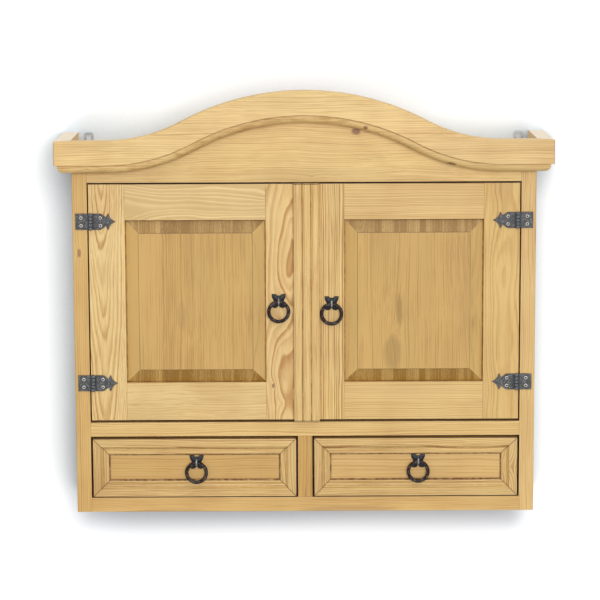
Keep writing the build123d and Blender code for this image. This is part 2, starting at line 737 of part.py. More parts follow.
# ---- Assembly ----
def make_cabinet():
    """Every sub-part by name."""
    both = list(hand)
    parts = {
        "side_left": make_side("left"),
        "side_right": make_side("right"),
        "bottom_board": make_cross_board(0, wall),
        "middle_board": make_cross_board(drawer_opening_top, back_front),
        "top_board": make_top_board(),
        "drawer_divider": make_divider(),
        "arch_rail": make_arch_rail(),
        "door_stop": make_door_stop(),
        "back_panel": make_back_panel(),
        "carcass_dowels": group(rod(dowel_diameter / 2, *line) for line in dowel_lines()),
        "shelf": make_shelf(),
        "shelf_pins": group(rod(shelf_pin_diameter / 2, *line) for line in shelf_pin_lines()),
        "cornice_front": make_cornice_front(),
        "cornice_return_left": make_cornice_return("left"),
        "cornice_return_right": make_cornice_return("right"),
        "wall_hangers": group(make_hanger(side) for side in both),
        "hanger_screws": group(screw for side in both for screw in hanger_screws(side)),
        "frame_hinge_leaves": group(hinge_leaf(side, "frame", z) for side in both for z in hinge_heights),
        "frame_hinge_screws": group(screw for side in both for screw in hinge_screws(side, "frame")),
        "hinge_pins": group(hinge_pin_rod(side, z) for side in both for z in hinge_heights),
        "catch_magnets": group(catch_rods(magnet_diameter / 2)),
    }
    for side in both:
        parts |= {f"door_{side}_{name}": piece for name, piece in make_door(side).items()}
        parts |= {f"drawer_{side}_{name}": piece for name, piece in make_drawer(side).items()}
    return parts


os.makedirs("parts", exist_ok=True)
for name, piece in make_cabinet().items():
    export_step(piece, f"parts/{name}.step")
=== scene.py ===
import math

import bmesh
import bpy
from mathutils import Matrix, Vector


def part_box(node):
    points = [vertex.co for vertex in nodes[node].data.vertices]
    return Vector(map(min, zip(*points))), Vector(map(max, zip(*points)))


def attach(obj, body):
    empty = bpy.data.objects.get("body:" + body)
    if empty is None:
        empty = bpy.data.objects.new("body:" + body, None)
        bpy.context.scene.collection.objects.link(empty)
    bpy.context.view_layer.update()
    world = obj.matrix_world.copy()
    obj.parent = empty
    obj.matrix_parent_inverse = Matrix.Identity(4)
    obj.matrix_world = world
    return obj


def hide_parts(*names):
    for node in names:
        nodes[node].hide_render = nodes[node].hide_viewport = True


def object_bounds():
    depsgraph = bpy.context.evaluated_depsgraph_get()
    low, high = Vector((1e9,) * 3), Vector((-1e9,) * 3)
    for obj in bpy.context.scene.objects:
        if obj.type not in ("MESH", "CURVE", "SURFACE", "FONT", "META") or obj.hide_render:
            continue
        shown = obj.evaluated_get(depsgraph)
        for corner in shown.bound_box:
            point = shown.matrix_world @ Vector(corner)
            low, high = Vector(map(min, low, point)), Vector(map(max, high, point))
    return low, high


# Looks of the rustic pine wall cabinet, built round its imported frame.
# Sizes named _mm are millimetres; everything handed to Blender is in metres, in the frame's own axes.
MM = 0.001

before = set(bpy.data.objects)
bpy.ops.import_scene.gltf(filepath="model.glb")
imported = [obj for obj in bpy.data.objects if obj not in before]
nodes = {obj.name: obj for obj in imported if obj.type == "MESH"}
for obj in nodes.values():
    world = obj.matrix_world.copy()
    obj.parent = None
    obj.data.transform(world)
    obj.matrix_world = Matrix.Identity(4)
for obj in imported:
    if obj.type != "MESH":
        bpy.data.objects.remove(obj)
cad_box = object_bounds()
HANDS = {"left": -1, "right": 1}


# ---- Sizes that the looks need, read from the frame ----
def low(node):
    """The least corner of a CAD node's box."""
    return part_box(node)[0]


def high(node):
    """The greatest corner of a CAD node's box."""
    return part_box(node)[1]


def middle(node):
    """The middle of a CAD node's box."""
    return (low(node) + high(node)) / 2


wall_y = cad_box[1].y
cornice_top_z = high("cornice_return_left").z


# ---- Nodes and colours ----
def adder(tree):
    """The function that adds a node to a tree with its settings and links, and gives its outputs.

    A kind without the word Node is a shader node's. A second word is its operation, or a Mix
    node's data type. Inputs are in their order, or by name or number, and each is a value or
    the output socket that feeds it.
    """
    def add(kind, inputs=(), **settings):
        kind, _, mode = kind.partition(" ")
        made = tree.nodes.new(kind if "Node" in kind else "ShaderNode" + kind)
        if mode:
            settings = {"data_type" if kind == "Mix" else "operation": mode, **settings}
        for name, value in settings.items():
            setattr(made, name, value)
        for key, value in inputs.items() if isinstance(inputs, dict) else enumerate(inputs):
            if isinstance(value, bpy.types.NodeSocket):
                tree.links.new(value, made.inputs[key])
            else:
                made.inputs[key].default_value = value
        return made.outputs
    return add


def colour(code):
    """Linear colour of an sRGB hex code such as E4C487."""
    parts = [int(code[i:i + 2], 16) / 255 for i in (0, 2, 4)]
    linear = [c / 12.92 if c <= 0.04045 else ((c + 0.055) / 1.055) ** 2.4 for c in parts]
    return (*linear, 1.0)


def group_tree(name, kind, inputs, outputs):
    """A node group, from its inputs' and outputs' names listed by the type of their sockets."""
    tree = bpy.data.node_groups.new(name, kind)
    for way, sockets in (("INPUT", inputs), ("OUTPUT", outputs)):
        for socket, labels in sockets.items():
            for label in labels:
                tree.interface.new_socket(name=label, in_out=way, socket_type="NodeSocket" + socket)
    add = adder(tree)
    return tree, add, add("NodeGroupInput")


def material_tree(name):
    """A new material, and the function that adds nodes to it."""
    material = bpy.data.materials.new(name)
    material.use_nodes = True
    material.node_tree.nodes.clear()
    return material, adder(material.node_tree)


def placed(name, data):
    """A new object of the scene."""
    made = bpy.data.objects.new(name, data)
    bpy.context.scene.collection.objects.link(made)
    return made


# ---- Camera ----
LENS_MM = 145.5
SENSOR_MM = 36.0
CAMERA_PLACE = (-0.01362, -4.52994, 1.1125)
LOOKING_DOWN, TURNED, TILTED = 9.034, 0.066, -0.244      # degrees


def make_camera():
    """A long lens a little above the cornice, looking slightly down."""
    camera = placed("camera", bpy.data.cameras.new("camera"))
    camera.data.lens = LENS_MM
    camera.data.sensor_width = SENSOR_MM
    pitch, yaw, roll = (math.radians(angle) for angle in (LOOKING_DOWN, TURNED, TILTED))
    turn = Matrix.Rotation(-yaw, 4, "Z") @ Matrix.Rotation(math.pi / 2 - pitch, 4, "X")
    turn = turn @ Matrix.Rotation(roll, 4, "Z")
    camera.matrix_world = Matrix.Translation(CAMERA_PLACE) @ turn
    bpy.context.scene.camera = camera


# ---- Studio ----
KEY_STRENGTH = 1.62
KEY_ANGLE, KEY_AZIMUTH, KEY_ELEVATION = 30.0, 7.5, 11.0      # degrees
SKY_LEVELS = ((0.0, 0.29), (0.5, 0.42), (1.0, 1.0))     # nadir, horizon, zenith


def make_light():
    """A soft key from the front, a little right and above, in a white studio lit from its ceiling."""
    key = placed("key", bpy.data.lights.new("key", "SUN"))
    key.data.energy = KEY_STRENGTH
    key.data.angle = math.radians(KEY_ANGLE)
    azimuth, elevation = math.radians(KEY_AZIMUTH), math.radians(KEY_ELEVATION)
    away = Vector((math.sin(azimuth) * math.cos(elevation), -math.cos(azimuth) * math.cos(elevation),
                   math.sin(elevation)))
    key.rotation_euler = away.to_track_quat("Z", "Y").to_euler()

    world = bpy.data.worlds.new("studio")
    bpy.context.scene.world = world
    world.use_nodes = True
    world.node_tree.nodes.clear()
    add = adder(world.node_tree)
    direction = add("TexCoord")["Generated"]
    up = add("SeparateXYZ", [direction])[2]
    height = add("Math MULTIPLY_ADD", [up, 0.5, 0.5])[0]
    sky = add("ValToRGB", {"Fac": height})[0]
    ramp = sky.node.color_ramp.elements
    ramp.new(SKY_LEVELS[1][0])
    for stop, (at, level) in zip(ramp, SKY_LEVELS):
        stop.position = at
        stop.color = (level, level, level, 1)
    rays = add("LightPath")
    seen = add("Math MAXIMUM", [rays["Is Camera Ray"], rays["Is Transmission Ray"]])[0]
    seen = add("Math MAXIMUM", [seen, rays["Is Glossy Ray"]])[0]
    light = add("Mix RGBA", {0: seen, 6: sky, 7: (1, 1, 1, 1)})[2]
    background = add("Background", {"Color": light, "Strength": 1.0})
    add("OutputWorld", {"Surface": background[0]})


# Soft shadows painted on the wall from ambient occlusion and from height, and a glow, though no lamp, that
# makes it white away from them. Pairs run from left to right, or from the middle outwards; reaches in
# metres.
NEAR_REACH = (0.132, 0.078)
WIDE_REACH = (0.24, 0.1)
PAINTED_SHADOW_BELOW_DEPTH = (0.27, 0.43)
PAINT_IN_PAINTED_SHADOW = (0.64, 0.71, 0.76, 1)
UNSHADOWED_PAINT = (0.93, 0.97, 0.985, 1)
GLOW_IN_PAINTED_SHADOW = (0, 0.008, 0.03, 1)
UNSHADOWED_GLOW = (0.295, 0.28, 0.3, 1)


def white_paint():
    """Matt white emulsion of the studio. Besides the shadows that the lamps cast on it, soft shadows are
    painted on it near the cabinet and below it, and it glows, though no lamp, where none is painted. Its
    back isn't seen.
    """
    material, add = material_tree("studio_white_emulsion")
    rays = add("LightPath")
    place = add("SeparateXYZ", [add("TexCoord")["Object"]])
    near_reach = add("MapRange", [place[0], -0.4, 0.4, *NEAR_REACH])[0]
    near = add("AmbientOcclusion", {"Distance": near_reach}, samples=8)["AO"]
    from_middle = add("Math ABSOLUTE", [place[0]])[0]
    wide_reach = add("MapRange", [from_middle, 0.12, 0.38, *WIDE_REACH])[0]
    wide = add("AmbientOcclusion", {"Distance": wide_reach}, samples=8)["AO"]
    above = add("MapRange", [place[2], 0.5, 0.66])[0]
    wide = add("MapRange", [wide, 0.58, 0.84])[0]
    wide = add("Mix", {0: above, 2: 1.0, 3: wide})[0]
    # Painted shadow below the cabinet: the paint darkens towards the cabinet's bottom edge, within its
    # width.
    deepest_painted_shadow = add("MapRange", [place[0], -0.4, 0.4, *PAINTED_SHADOW_BELOW_DEPTH])[0]
    below = add("MapRange", [place[2], -0.106, -0.046, 0.0, deepest_painted_shadow], interpolation_type="SMOOTHSTEP")[0]
    lower_half = add("MapRange", [place[2], 0.05, 0.35, 1.0, 0.0])[0]
    below = add("Math MULTIPLY", [below, lower_half])[0]
    aside = add("Math ABSOLUTE", [add("Math ADD", [place[0], 0.01])[0]])[0]
    aside = add("MapRange", [aside, 0.405, 0.47, 1.0, 0.0], interpolation_type="SMOOTHSTEP")[0]
    shade = add("Math SUBTRACT", [1.0, add("Math MULTIPLY", [below, aside])[0]])[0]
    # How far the wall is from painted shadow, read from ambient occlusion.
    unshadowed_share = add("MapRange", [near, 0.5, 0.88])[0]
    unshadowed_share = add("Math MULTIPLY", [unshadowed_share, add("Math MULTIPLY_ADD", [wide, 0.3, 0.7])[0]])[0]
    emulsion = add("Mix RGBA", {0: unshadowed_share, 6: PAINT_IN_PAINTED_SHADOW, 7: UNSHADOWED_PAINT})[2]
    emulsion = add("VectorMath SCALE", {0: emulsion, "Scale": shade})[0]
    paint = add("BsdfDiffuse", {"Color": emulsion})
    # A glow, though no lamp, that makes the wall white away from the cabinet and fades out in the painted
    # shadow.
    reach = add("MapRange", [place[0], -0.2, 0.2, 0.98, 0.84])[0]
    painted_glow_share = add("MapRange", [near, 0.62, reach])[0]
    painted_glow_share = add("Math MULTIPLY", [add("Math MULTIPLY", [painted_glow_share, wide])[0], shade])[0]
    glow = add("Mix RGBA", {0: painted_glow_share, 6: GLOW_IN_PAINTED_SHADOW, 7: UNSHADOWED_GLOW})[2]
    glow = add("Emission", {"Color": glow, "Strength": 1.0})
    lit = add("AddShader", [paint[0], glow[0]])
    clear = add("BsdfTransparent")
    facing = add("NewGeometry")["Backfacing"]
    unseen = add("Math SUBTRACT", [1.0, rays["Is Camera Ray"]])[0]
    hidden = add("Math MAXIMUM", [facing, unseen])[0]
    surface = add("MixShader", [hidden, lit[0], clear[0]])
    add("OutputMaterial", {"Surface": surface[0]})
    return material


def make_stage():
    """A white wall just behind the cabinet and a pale floor well below it."""
    paint = white_paint()
    reach, drop, rise, gap = 8.0, 1.1, 6.0, 0.0006
    wall_corners = [(-reach, 0, -drop), (reach, 0, -drop), (reach, 0, rise), (-reach, 0, rise)]
    floor_corners = [(-reach, -reach, 0), (reach, -reach, 0), (reach, reach, 0), (-reach, reach, 0)]
    places = {
        "studio_wall": (wall_corners, Vector((0, wall_y + gap, 0))),
        "studio_floor": (floor_corners, Vector((0, 0, -drop))),
    }
    for name, (corners, place) in places.items():
        mesh = bpy.data.meshes.new(name)
        mesh.from_pydata([Vector(c) + place for c in corners], [], [(0, 1, 2, 3)])
        mesh.materials.append(paint)
        placed(name, mesh)


# ---- Pine ----
WOOD_LIGHT = "EAC887"
WOOD_LATE = "B5803F"
WOOD_KNOT = "8A5A3E"
AGED = (0.955, 0.955, 0.87, 1.0)                        # what old wax leaves of red, green and blue
# Painted shade lines of a drawer's mitred moulding: in its hollow, and along its inner edge against the
# panel.
TRIM_SHADE_LINES = ((31.4, 2.6, 1.0), (19.5, 1.9, 0.40))      # place and reach in mm, strength


def pine_figure():
    """Group: rings, fibre and tone of solid pine round a heart that runs along X, in millimetres."""
    tree, add, given = group_tree("pine_figure", "ShaderNodeTree", {
        "Vector": ["Place"],
        "Float": ["Seed", "Ring spacing", "Waver", "Ragged", "Contrast", "Late share", "Fine", "Push",
                  "Darker"],
        "Color": ["Light wood", "Late wood"],
    }, {"Color": ["Color"], "Float": ["Height", "Late"]})

    apart = add("CombineXYZ", [add("Math MULTIPLY", [given["Seed"], 37.1])[0],
                               add("Math MULTIPLY", [given["Seed"], 17.3])[0],
                               add("Math MULTIPLY", [given["Seed"], 53.7])[0]])[0]

    def pattern(lengths, detail, roughness=0.5, place=given["Place"]):
        """Noise whose features have the given lengths along and across the grain."""
        size = (1 / lengths[0], 1 / lengths[1], 1 / lengths[1])
        place = add("VectorMath MULTIPLY_ADD", [place, size, apart])[0]
        return add("TexNoise", {"Vector": place, "Scale": 1.0, "Detail": detail, "Roughness": roughness})

    def centred(value, amount):
        """A value between 0 and 1 as a swing round 0 of the given amount."""
        return add("Math MULTIPLY", [add("Math SUBTRACT", [value, 0.5])[0], amount])[0]

    bend = add("SeparateColor", [pattern((210, 75), 1.5)["Color"]])
    wave = add("CombineXYZ", {1: centred(bend[0], given["Waver"]), 2: centred(bend[1], given["Waver"])})[0]
    bent = add("VectorMath ADD", [given["Place"], wave])[0]
    place = add("SeparateXYZ", [bent])
    flat = add("CombineXYZ", {1: place[1], 2: place[2]})[0]
    radius = add("VectorMath LENGTH", [flat])["Value"]
    jag = pattern((34, 7), 2, 0.6, bent)["Fac"]
    radius = add("Math ADD", [radius, centred(jag, given["Ragged"])])[0]
    radius = add("Math ADD", [radius, given["Push"]])[0]
    years = add("Math DIVIDE", [radius, given["Ring spacing"]])[0]
    slow = add("Math MULTIPLY_ADD", [years, 0.23, add("Math MULTIPLY", [given["Seed"], 9.1])[0]])[0]
    uneven = add("TexNoise", {"W": slow, "Scale": 1.0, "Detail": 1.5}, noise_dimensions="1D")["Fac"]
    years = add("Math ADD", [years, centred(uneven, 2.4)])[0]
    year = add("Math FLOOR", [years])[0]
    season = add("Math FRACT", [years])[0]
    vigour = add("TexWhiteNoise", {"W": add("Math ADD", [year, given["Seed"]])[0]},
                 noise_dimensions="1D")["Value"]
    spring = add("Math SUBTRACT", [0.86, given["Late share"]])[0]
    rise = add("MapRange", [season, spring, 0.82, 0.0, 1.0], interpolation_type="SMOOTHSTEP")[0]
    fall = add("MapRange", [season, 0.84, 1.0, 1.0, 0.0], interpolation_type="SMOOTHSTEP")[0]
    late = add("Math MULTIPLY", [rise, fall])[0]
    late = add("Math MULTIPLY", [late, add("Math MULTIPLY_ADD", [vigour, 0.7, 0.3])[0]])[0]

    fibre = pattern((150, 1.6), 2.5, 0.6, bent)["Fac"]
    band = pattern((420, 16), 2, 0.5, bent)["Fac"]
    tone = pattern((240, 60), 2)["Fac"]
    blush = pattern((500, 90), 1)["Fac"]
    ducts = pattern((24, 1.1), 1, 0.5, bent)["Fac"]
    ducts = add("MapRange", [ducts, 0.66, 0.78])[0]
    strength = add("Math MULTIPLY_ADD", [late, given["Contrast"], 0.1])[0]
    strength = add("Math ADD", [strength, centred(fibre, given["Fine"])])[0]
    strength = add("Math ADD", [strength, centred(band, 0.46)])[0]
    strength = add("Math ADD", [strength, add("Math MULTIPLY", [ducts, 0.1])[0]])[0]
    strength = add("Math ADD", [strength, given["Darker"]], use_clamp=True)[0]
    wood = add("Mix RGBA", {0: strength, 6: given["Light wood"], 7: given["Late wood"]})[2]
    level = add("Math ADD", [1.0, centred(tone, 0.22)])[0]
    hue = add("Math ADD", [0.5, centred(blush, 0.009)])[0]
    wood = add("HueSaturation", {"Hue": hue, "Value": level, "Color": wood})[0]
    height = add("Math SUBTRACT", [add("Math MULTIPLY", [fibre, 0.6])[0],
                                   add("Math MULTIPLY", [late, 0.4])[0]])[0]
    add("NodeGroupOutput", {"Color": wood, "Height": height, "Late": late})
    return tree


def wax_and_painted_shade():
    """Group: where the wax went on thicker, and painted shade. End grain drinks the wax. Corners are
    darkened partly by wax and partly by painted shade, and deep gaps are painted dark as shade.
    """
    tree, add, given = group_tree("wax_and_painted_shade", "ShaderNodeTree", {
        "Vector": ["Position", "Along grain"],
        "Float": ["End darkness", "Corner darkness"],
        "Color": ["Color", "Wax colour", "Gap colour"],
    }, {"Color": ["Color"]})
    facing = add("TexCoord")["Normal"]
    end = add("VectorMath DOT_PRODUCT", [facing, given["Along grain"]])["Value"]
    end = add("MapRange", [add("Math ABSOLUTE", [end])[0], 0.06, 0.3], interpolation_type="SMOOTHSTEP")[0]
    end = add("Math MULTIPLY", [end, given["End darkness"]])[0]
    soaked = add("Mix RGBA", {0: end, 6: given["Color"], 7: (0.47, 0.37, 0.12, 1)},
                 blend_type="MULTIPLY")[2]
    # Ambient occlusion finds the corners and gaps where shade is painted, with some wax in the corners.
    openness = add("AmbientOcclusion", {"Distance": 4.2 * MM}, samples=8)["AO"]
    depth = add("SeparateXYZ", [given["Position"]])[1]
    at_wall = add("MapRange", [depth, wall_y - 5.0 * MM, wall_y - 2.0 * MM])[0]
    openness = add("Math MAXIMUM", [openness, at_wall])[0]
    corner = add("MapRange", [openness, 0.86, 0.44, 0.0, 1.0], interpolation_type="SMOOTHSTEP")[0]
    patch_mm = 15.0
    patches = add("TexNoise", {"Vector": given["Position"], "Scale": 1 / (patch_mm * MM),
                               "Detail": 2.0})["Fac"]
    patchy = add("MapRange", [patches, 0.38, 0.6, 0.35, 1.0])[0]
    corner = add("Math MULTIPLY", [add("Math MULTIPLY", [corner, patchy])[0], given["Corner darkness"]])[0]
    # Painted shade: deep gaps are painted nearly black in the gap colour.
    gap = add("MapRange", [openness, 0.47, 0.2, 0.0, 1.0], interpolation_type="SMOOTHSTEP")[0]
    brown = add("Mix RGBA", {0: corner, 6: soaked, 7: given["Wax colour"]})[2]
    dark = add("Mix RGBA", {0: add("Math MULTIPLY", [gap, 0.9])[0], 6: brown, 7: given["Gap colour"]})[2]
    add("NodeGroupOutput", {"Color": dark})
    return tree


def knot_field():
    """Group: how far a knot pushes the rings aside, and how dark it is, added to earlier knots."""
    tree, add, given = group_tree("pine_knot", "ShaderNodeTree", {
        "Vector": ["Position", "Centre", "Size"],
        "Float": ["Swell", "Darkness", "Push", "Dark"],
    }, {"Float": ["Push", "Dark"]})
    away = add("VectorMath SUBTRACT", [given["Position"], given["Centre"]])[0]
    away = add("VectorMath DIVIDE", [away, given["Size"]])[0]
    distance = add("VectorMath LENGTH", [away])["Value"]
    ragged = add("TexNoise", {"Vector": away, "Scale": 1.7, "Detail": 3.0})["Fac"]
    distance = add("Math MULTIPLY_ADD", [ragged, 0.5, add("Math SUBTRACT", [distance, 0.25])[0]])[0]
    swell = add("Math EXPONENT", [add("Math MULTIPLY", [distance, -0.75])[0]])[0]
    push = add("Math MULTIPLY_ADD", [swell, given["Swell"], given["Push"]])[0]
    dark = add("MapRange", [distance, 0.55, 1.15, given["Darkness"], 0.0],
               interpolation_type="SMOOTHSTEP")[0]
    dark = add("Math MAXIMUM", [dark, given["Dark"]])[0]
    add("NodeGroupOutput", {"Push": push, "Dark": dark})
    return tree


def from_centre(add, position, centre):
    """How far a point lies from a centre along X, Y and Z, on either side."""
    away = add("VectorMath SUBTRACT", [position, centre])[0]
    away = add("VectorMath ABSOLUTE", [away])[0]
    return add("SeparateXYZ", [away])


def painted_gap_shade_lines():
    """Group: painted shade on the arrises round the doors and drawers, which widens the dark of their gaps.
    """
    tree, add, given = group_tree("painted_gap_shade_lines", "ShaderNodeTree", {"Vector": ["Position"]},
                                  {"Float": ["Line"]})
    sides = (high("side_left").x, low("side_right").x)
    drawers = (high("bottom_board").z, low("middle_board").z)
    thin, thick = 1.9, 0.65     # how fast a line fades: the higher, the thinner it is
    outlines = [
        (*sides, high("middle_board").z, low("arch_rail").z, thin),
        (low("door_left_hinge_stile").x, high("door_right_hinge_stile").x,
         low("door_left_hinge_stile").z, high("door_left_hinge_stile").z, thin),
        (sides[0], low("drawer_divider").x, *drawers, thick),
        (high("drawer_divider").x, sides[1], *drawers, thick),
    ]
    for side in HANDS:
        corner, opposite = low(f"drawer_{side}_front"), high(f"drawer_{side}_front")
        outlines.append((corner.x, opposite.x, corner.z, opposite.z, thick))
    nearest = 1.0
    for left, right, bottom, top, upright in outlines:
        centre = Vector(((left + right) / 2, 0, (bottom + top) / 2))
        away = from_centre(add, given["Position"], centre)
        out_x = add("Math MULTIPLY", [add("Math SUBTRACT", [away[0], (right - left) / 2])[0], upright])[0]
        out_z = add("Math MULTIPLY", [add("Math SUBTRACT", [away[2], (top - bottom) / 2])[0], thick])[0]
        out = add("Math MAXIMUM", [out_x, out_z])[0]
        nearest = add("Math MINIMUM", [nearest, add("Math ABSOLUTE", [out])[0]])[0]
    line = add("MapRange", [nearest, 0.25 * MM, 0.65 * MM, 0.95, 0.0])[0]
    depth = add("SeparateXYZ", [given["Position"]])[1]
    at_front = add("Math LESS_THAN", [depth, low("side_left").y + 2.0 * MM])[0]
    line = add("Math MULTIPLY", [line, at_front])[0]
    add("NodeGroupOutput", {"Line": line})
    return tree


FIGURE = pine_figure()
KNOT = knot_field()
WAX_AND_SHADE = wax_and_painted_shade()
GAP_SHADE_LINES = painted_gap_shade_lines()
GRAIN_TURN = {"x": (0.0, 0.0, 0.0), "y": (0.0, 0.0, math.pi / 2), "z": (0.0, -math.pi / 2, 0.0)}
GRAIN_WAY = {"x": (1.0, 0.0, 0.0), "y": (0.0, 1.0, 0.0), "z": (0.0, 0.0, 1.0)}


def in_wood(add, position, centre, grain, lean=(0.0, 0.0, 0.0)):
    """Object coordinates as millimetres round the tree's heart, which runs along X."""
    turn = [a + math.radians(b) for a, b in zip(GRAIN_TURN[grain], lean)]
    return add("Mapping", {"Vector": position, "Location": centre, "Rotation": turn, "Scale": (MM, MM, MM)},
               vector_type="TEXTURE")[0]


def glued_staves(add, across, width_mm, seed):
    """Which edge-glued stave a point lies in, as a shift of its wood in millimetres and a tone."""
    stave = add("Math FLOOR", [add("Math MULTIPLY_ADD", [across, 1 / (width_mm * MM), seed * 0.37])[0]])[0]
    drawn = add("TexWhiteNoise", {"W": add("Math ADD", [stave, seed])[0]}, noise_dimensions="1D")
    shift = add("VectorMath MULTIPLY", [drawn["Color"], (300.0, 40.0, 60.0)])[0]
    tone = add("Math MULTIPLY_ADD", [drawn["Value"], 0.26, -0.13])[0]
    return shift, tone


def trim_shade_lines(add, position, name):
    """The dark lines of painted shade in the hollow and at the inner edge of a drawer's mitred moulding."""
    moulding = name.replace("_front", "_moulding")
    half = (high(moulding) - low(moulding)) / 2
    away = from_centre(add, position, middle(moulding))
    inside = add("Math MINIMUM", [add("Math SUBTRACT", [half.x, away[0]])[0],
                                  add("Math SUBTRACT", [half.z, away[2]])[0]])[0]
    ragged = add("TexNoise", {"Vector": position, "Scale": 120.0, "Detail": 3.0})["Fac"]
    ragged = add("MapRange", [ragged, 0.36, 0.6])[0]
    lines = 0.0
    for place_mm, reach_mm, strength in TRIM_SHADE_LINES:
        off = add("Math ABSOLUTE", [add("Math SUBTRACT", [inside, place_mm * MM])[0]])[0]
        line = add("MapRange", [off, 0.25 * MM, reach_mm * MM, strength, 0.0])[0]
        lines = add("Math MAXIMUM", [lines, line])[0]
    return add("Math MULTIPLY", [lines, add("Math MULTIPLY_ADD", [ragged, 0.6, 0.4])[0]])[0]


def mitres(add, position, name):
    """Whether a point of a mitred frame is on an upright bar, and how near it is to a mitre."""
    half = (high(name) - low(name)) / 2
    away = from_centre(add, position, middle(name))
    from_side = add("Math SUBTRACT", [half.x, away[0]])[0]
    from_end = add("Math SUBTRACT", [half.z, away[2]])[0]
    upright = add("Math LESS_THAN", [from_side, from_end])[0]
    apart = add("Math ABSOLUTE", [add("Math SUBTRACT", [from_side, from_end])[0]])[0]
    seam = add("MapRange", [apart, 0.6 * MM, 1.9 * MM, 0.65, 0.0])[0]
    return upright, seam


def pine(name, grain, heart, spacing=3.0, seed=0.0, waver=14.0, ragged=1.2, contrast=0.65, share=0.6,
         fine=1.15, light=WOOD_LIGHT, late=WOOD_LATE, lean=(0.0, 0.0, 0.0), knots=(),
         knot_colour=WOOD_KNOT, end_darkness=0.6, corner_darkness=0.8, wax="80501F", gap="2A140B",
         painted_light_above=None, staves=None, mitred=False, field_line=None, stained_behind=None, shut=False,
         trimmed=False):
    """Planed and waxed pine of one board: satin honey colour with that board's own figure.

    heart is where the tree's heart ran, in millimetres from the board's middle, and lean turns
    the grain off the board's length by a few degrees, which draws flames instead of lines.
    A knot is its centre and radii in millimetres, how far it swells the rings, and its darkness.
    staves and field_line are in millimetres: a glued stave's width, and where a panel's field ends. wax
    darkens corners, partly as wax and partly as painted shade, and gap is the colour of painted shade in
    deep gaps and along the gaps round doors and drawers.
    """
    material, add = material_tree(f"waxed_pine_{name}")
    position = add("TexCoord")["Object"]
    across, depth, height = add("SeparateXYZ", [position])
    heart_at = middle(name) + Vector(heart) * MM
    place = in_wood(add, position, heart_at, grain, lean)
    along, darker = GRAIN_WAY[grain], 0.0
    if staves:
        shift, darker = glued_staves(add, across, staves, seed)
        streak = add("TexNoise", {"W": add("Math MULTIPLY_ADD", [across, 42.0, seed])[0], "Detail": 2.0,
                                  "Roughness": 0.6, "Scale": 1.0}, noise_dimensions="1D")["Fac"]
        streak = add("Math MULTIPLY_ADD", [streak, 1.7, -0.85])[0]
        end_darkness = add("Math ADD", [add("Math MULTIPLY_ADD", [darker, 1.3, end_darkness])[0],
                                        streak])[0]
        place = add("VectorMath ADD", [place, shift])[0]
    if mitred:
        upright, seam = mitres(add, position, name)
        turned = in_wood(add, position, heart_at + Vector((120, 0, 90)) * MM, "z", lean)
        place = add("Mix VECTOR", {0: upright, 4: place, 5: turned})[1]
        along = add("Mix VECTOR", {0: upright, 4: along, 5: GRAIN_WAY["z"]})[1]
    if stained_behind is not None:
        stain_mm = (38.0, 9.0, 9.0)
        place_of_stain = add("VectorMath MULTIPLY_ADD",
                             [position, [1 / (v * MM) for v in stain_mm], (5.3, 0, 0)])[0]
        stain = add("TexNoise", {"Vector": place_of_stain, "Scale": 1.0, "Detail": 3.0,
                                 "Roughness": 0.6})["Fac"]
        stain = add("MapRange", [stain, 0.46, 0.72, 0.0, 0.62])[0]
        past = add("Math GREATER_THAN", [depth, stained_behind * MM])[0]
        fading = add("MapRange", [across, 0.05, 0.25, 1.0, -0.1])[0]
        behind = add("Math MULTIPLY", [past, fading])[0]
        darker = add("Math MULTIPLY_ADD", [behind, 0.12, -0.12])[0]
        darker = add("Math MULTIPLY_ADD", [behind, stain, darker])[0]
        darker = add("Math MULTIPLY", [darker, past])[0]
    uneven = add("TexNoise", {"Vector": position, "Scale": 11.0, "Detail": 2.0})["Fac"]
    uneven = add("MapRange", [uneven, 0.34, 0.66, -0.11, 0.11])[0]
    darker = add("Math ADD", [darker, uneven])[0]
    if field_line is not None:
        field_end = low(name).y + field_line * MM
        on_bevel = add("Math GREATER_THAN", [depth, field_end])[0]
        darker = add("Math MULTIPLY_ADD", [on_bevel, -0.2, darker])[0]
    push, dark = 0.0, 0.0
    for centre, size, swell, darkness in knots:
        found = add("Group", {"Position": position, "Centre": Vector(centre) * MM,
                              "Size": Vector(size) * MM, "Swell": swell, "Darkness": darkness, "Push": push,
                              "Dark": dark}, node_tree=KNOT)
        push, dark = found["Push"], found["Dark"]
    wood = add("Group", {"Place": place, "Seed": seed, "Ring spacing": spacing, "Waver": waver,
                         "Ragged": ragged, "Contrast": contrast, "Late share": share, "Fine": fine,
                         "Push": push, "Darker": darker, "Light wood": colour(light),
                         "Late wood": colour(late)}, node_tree=FIGURE)
    face = wood["Color"]
    if field_line is not None:
        sanded = add("Math MULTIPLY", [on_bevel, 0.18])[0]
        face = add("Mix RGBA", {0: sanded, 6: face, 7: colour("E3C790")})[2]
    if knots:
        face = add("Mix RGBA", {0: dark, 6: face, 7: colour(knot_colour)})[2]
    if field_line is not None:
        rise = add("MapRange", [depth, field_end - 1.1 * MM, field_end - 0.1 * MM, 0.0, 0.75])[0]
        fall = add("MapRange", [depth, field_end, field_end + 0.3 * MM, 0.75, 0.0])[0]
        line = add("Math MINIMUM", [rise, fall])[0]
        face = add("Mix RGBA", {0: line, 6: face, 7: colour("5E3D1B")})[2]
    # Painted shade lines in the drawer moulding's hollow and at its inner edge.
    if trimmed:
        lines = trim_shade_lines(add, position, name)
        face = add("Mix RGBA", {0: lines, 6: face, 7: colour("5A3414")})[2]
    if mitred:
        face = add("Mix RGBA", {0: seam, 6: face, 7: colour("56300F")})[2]
    end_darkness = add("Math ADD", [end_darkness,
                                    add("Math MULTIPLY_ADD", [wood["Height"], 1.2, -0.32])[0]])[0]
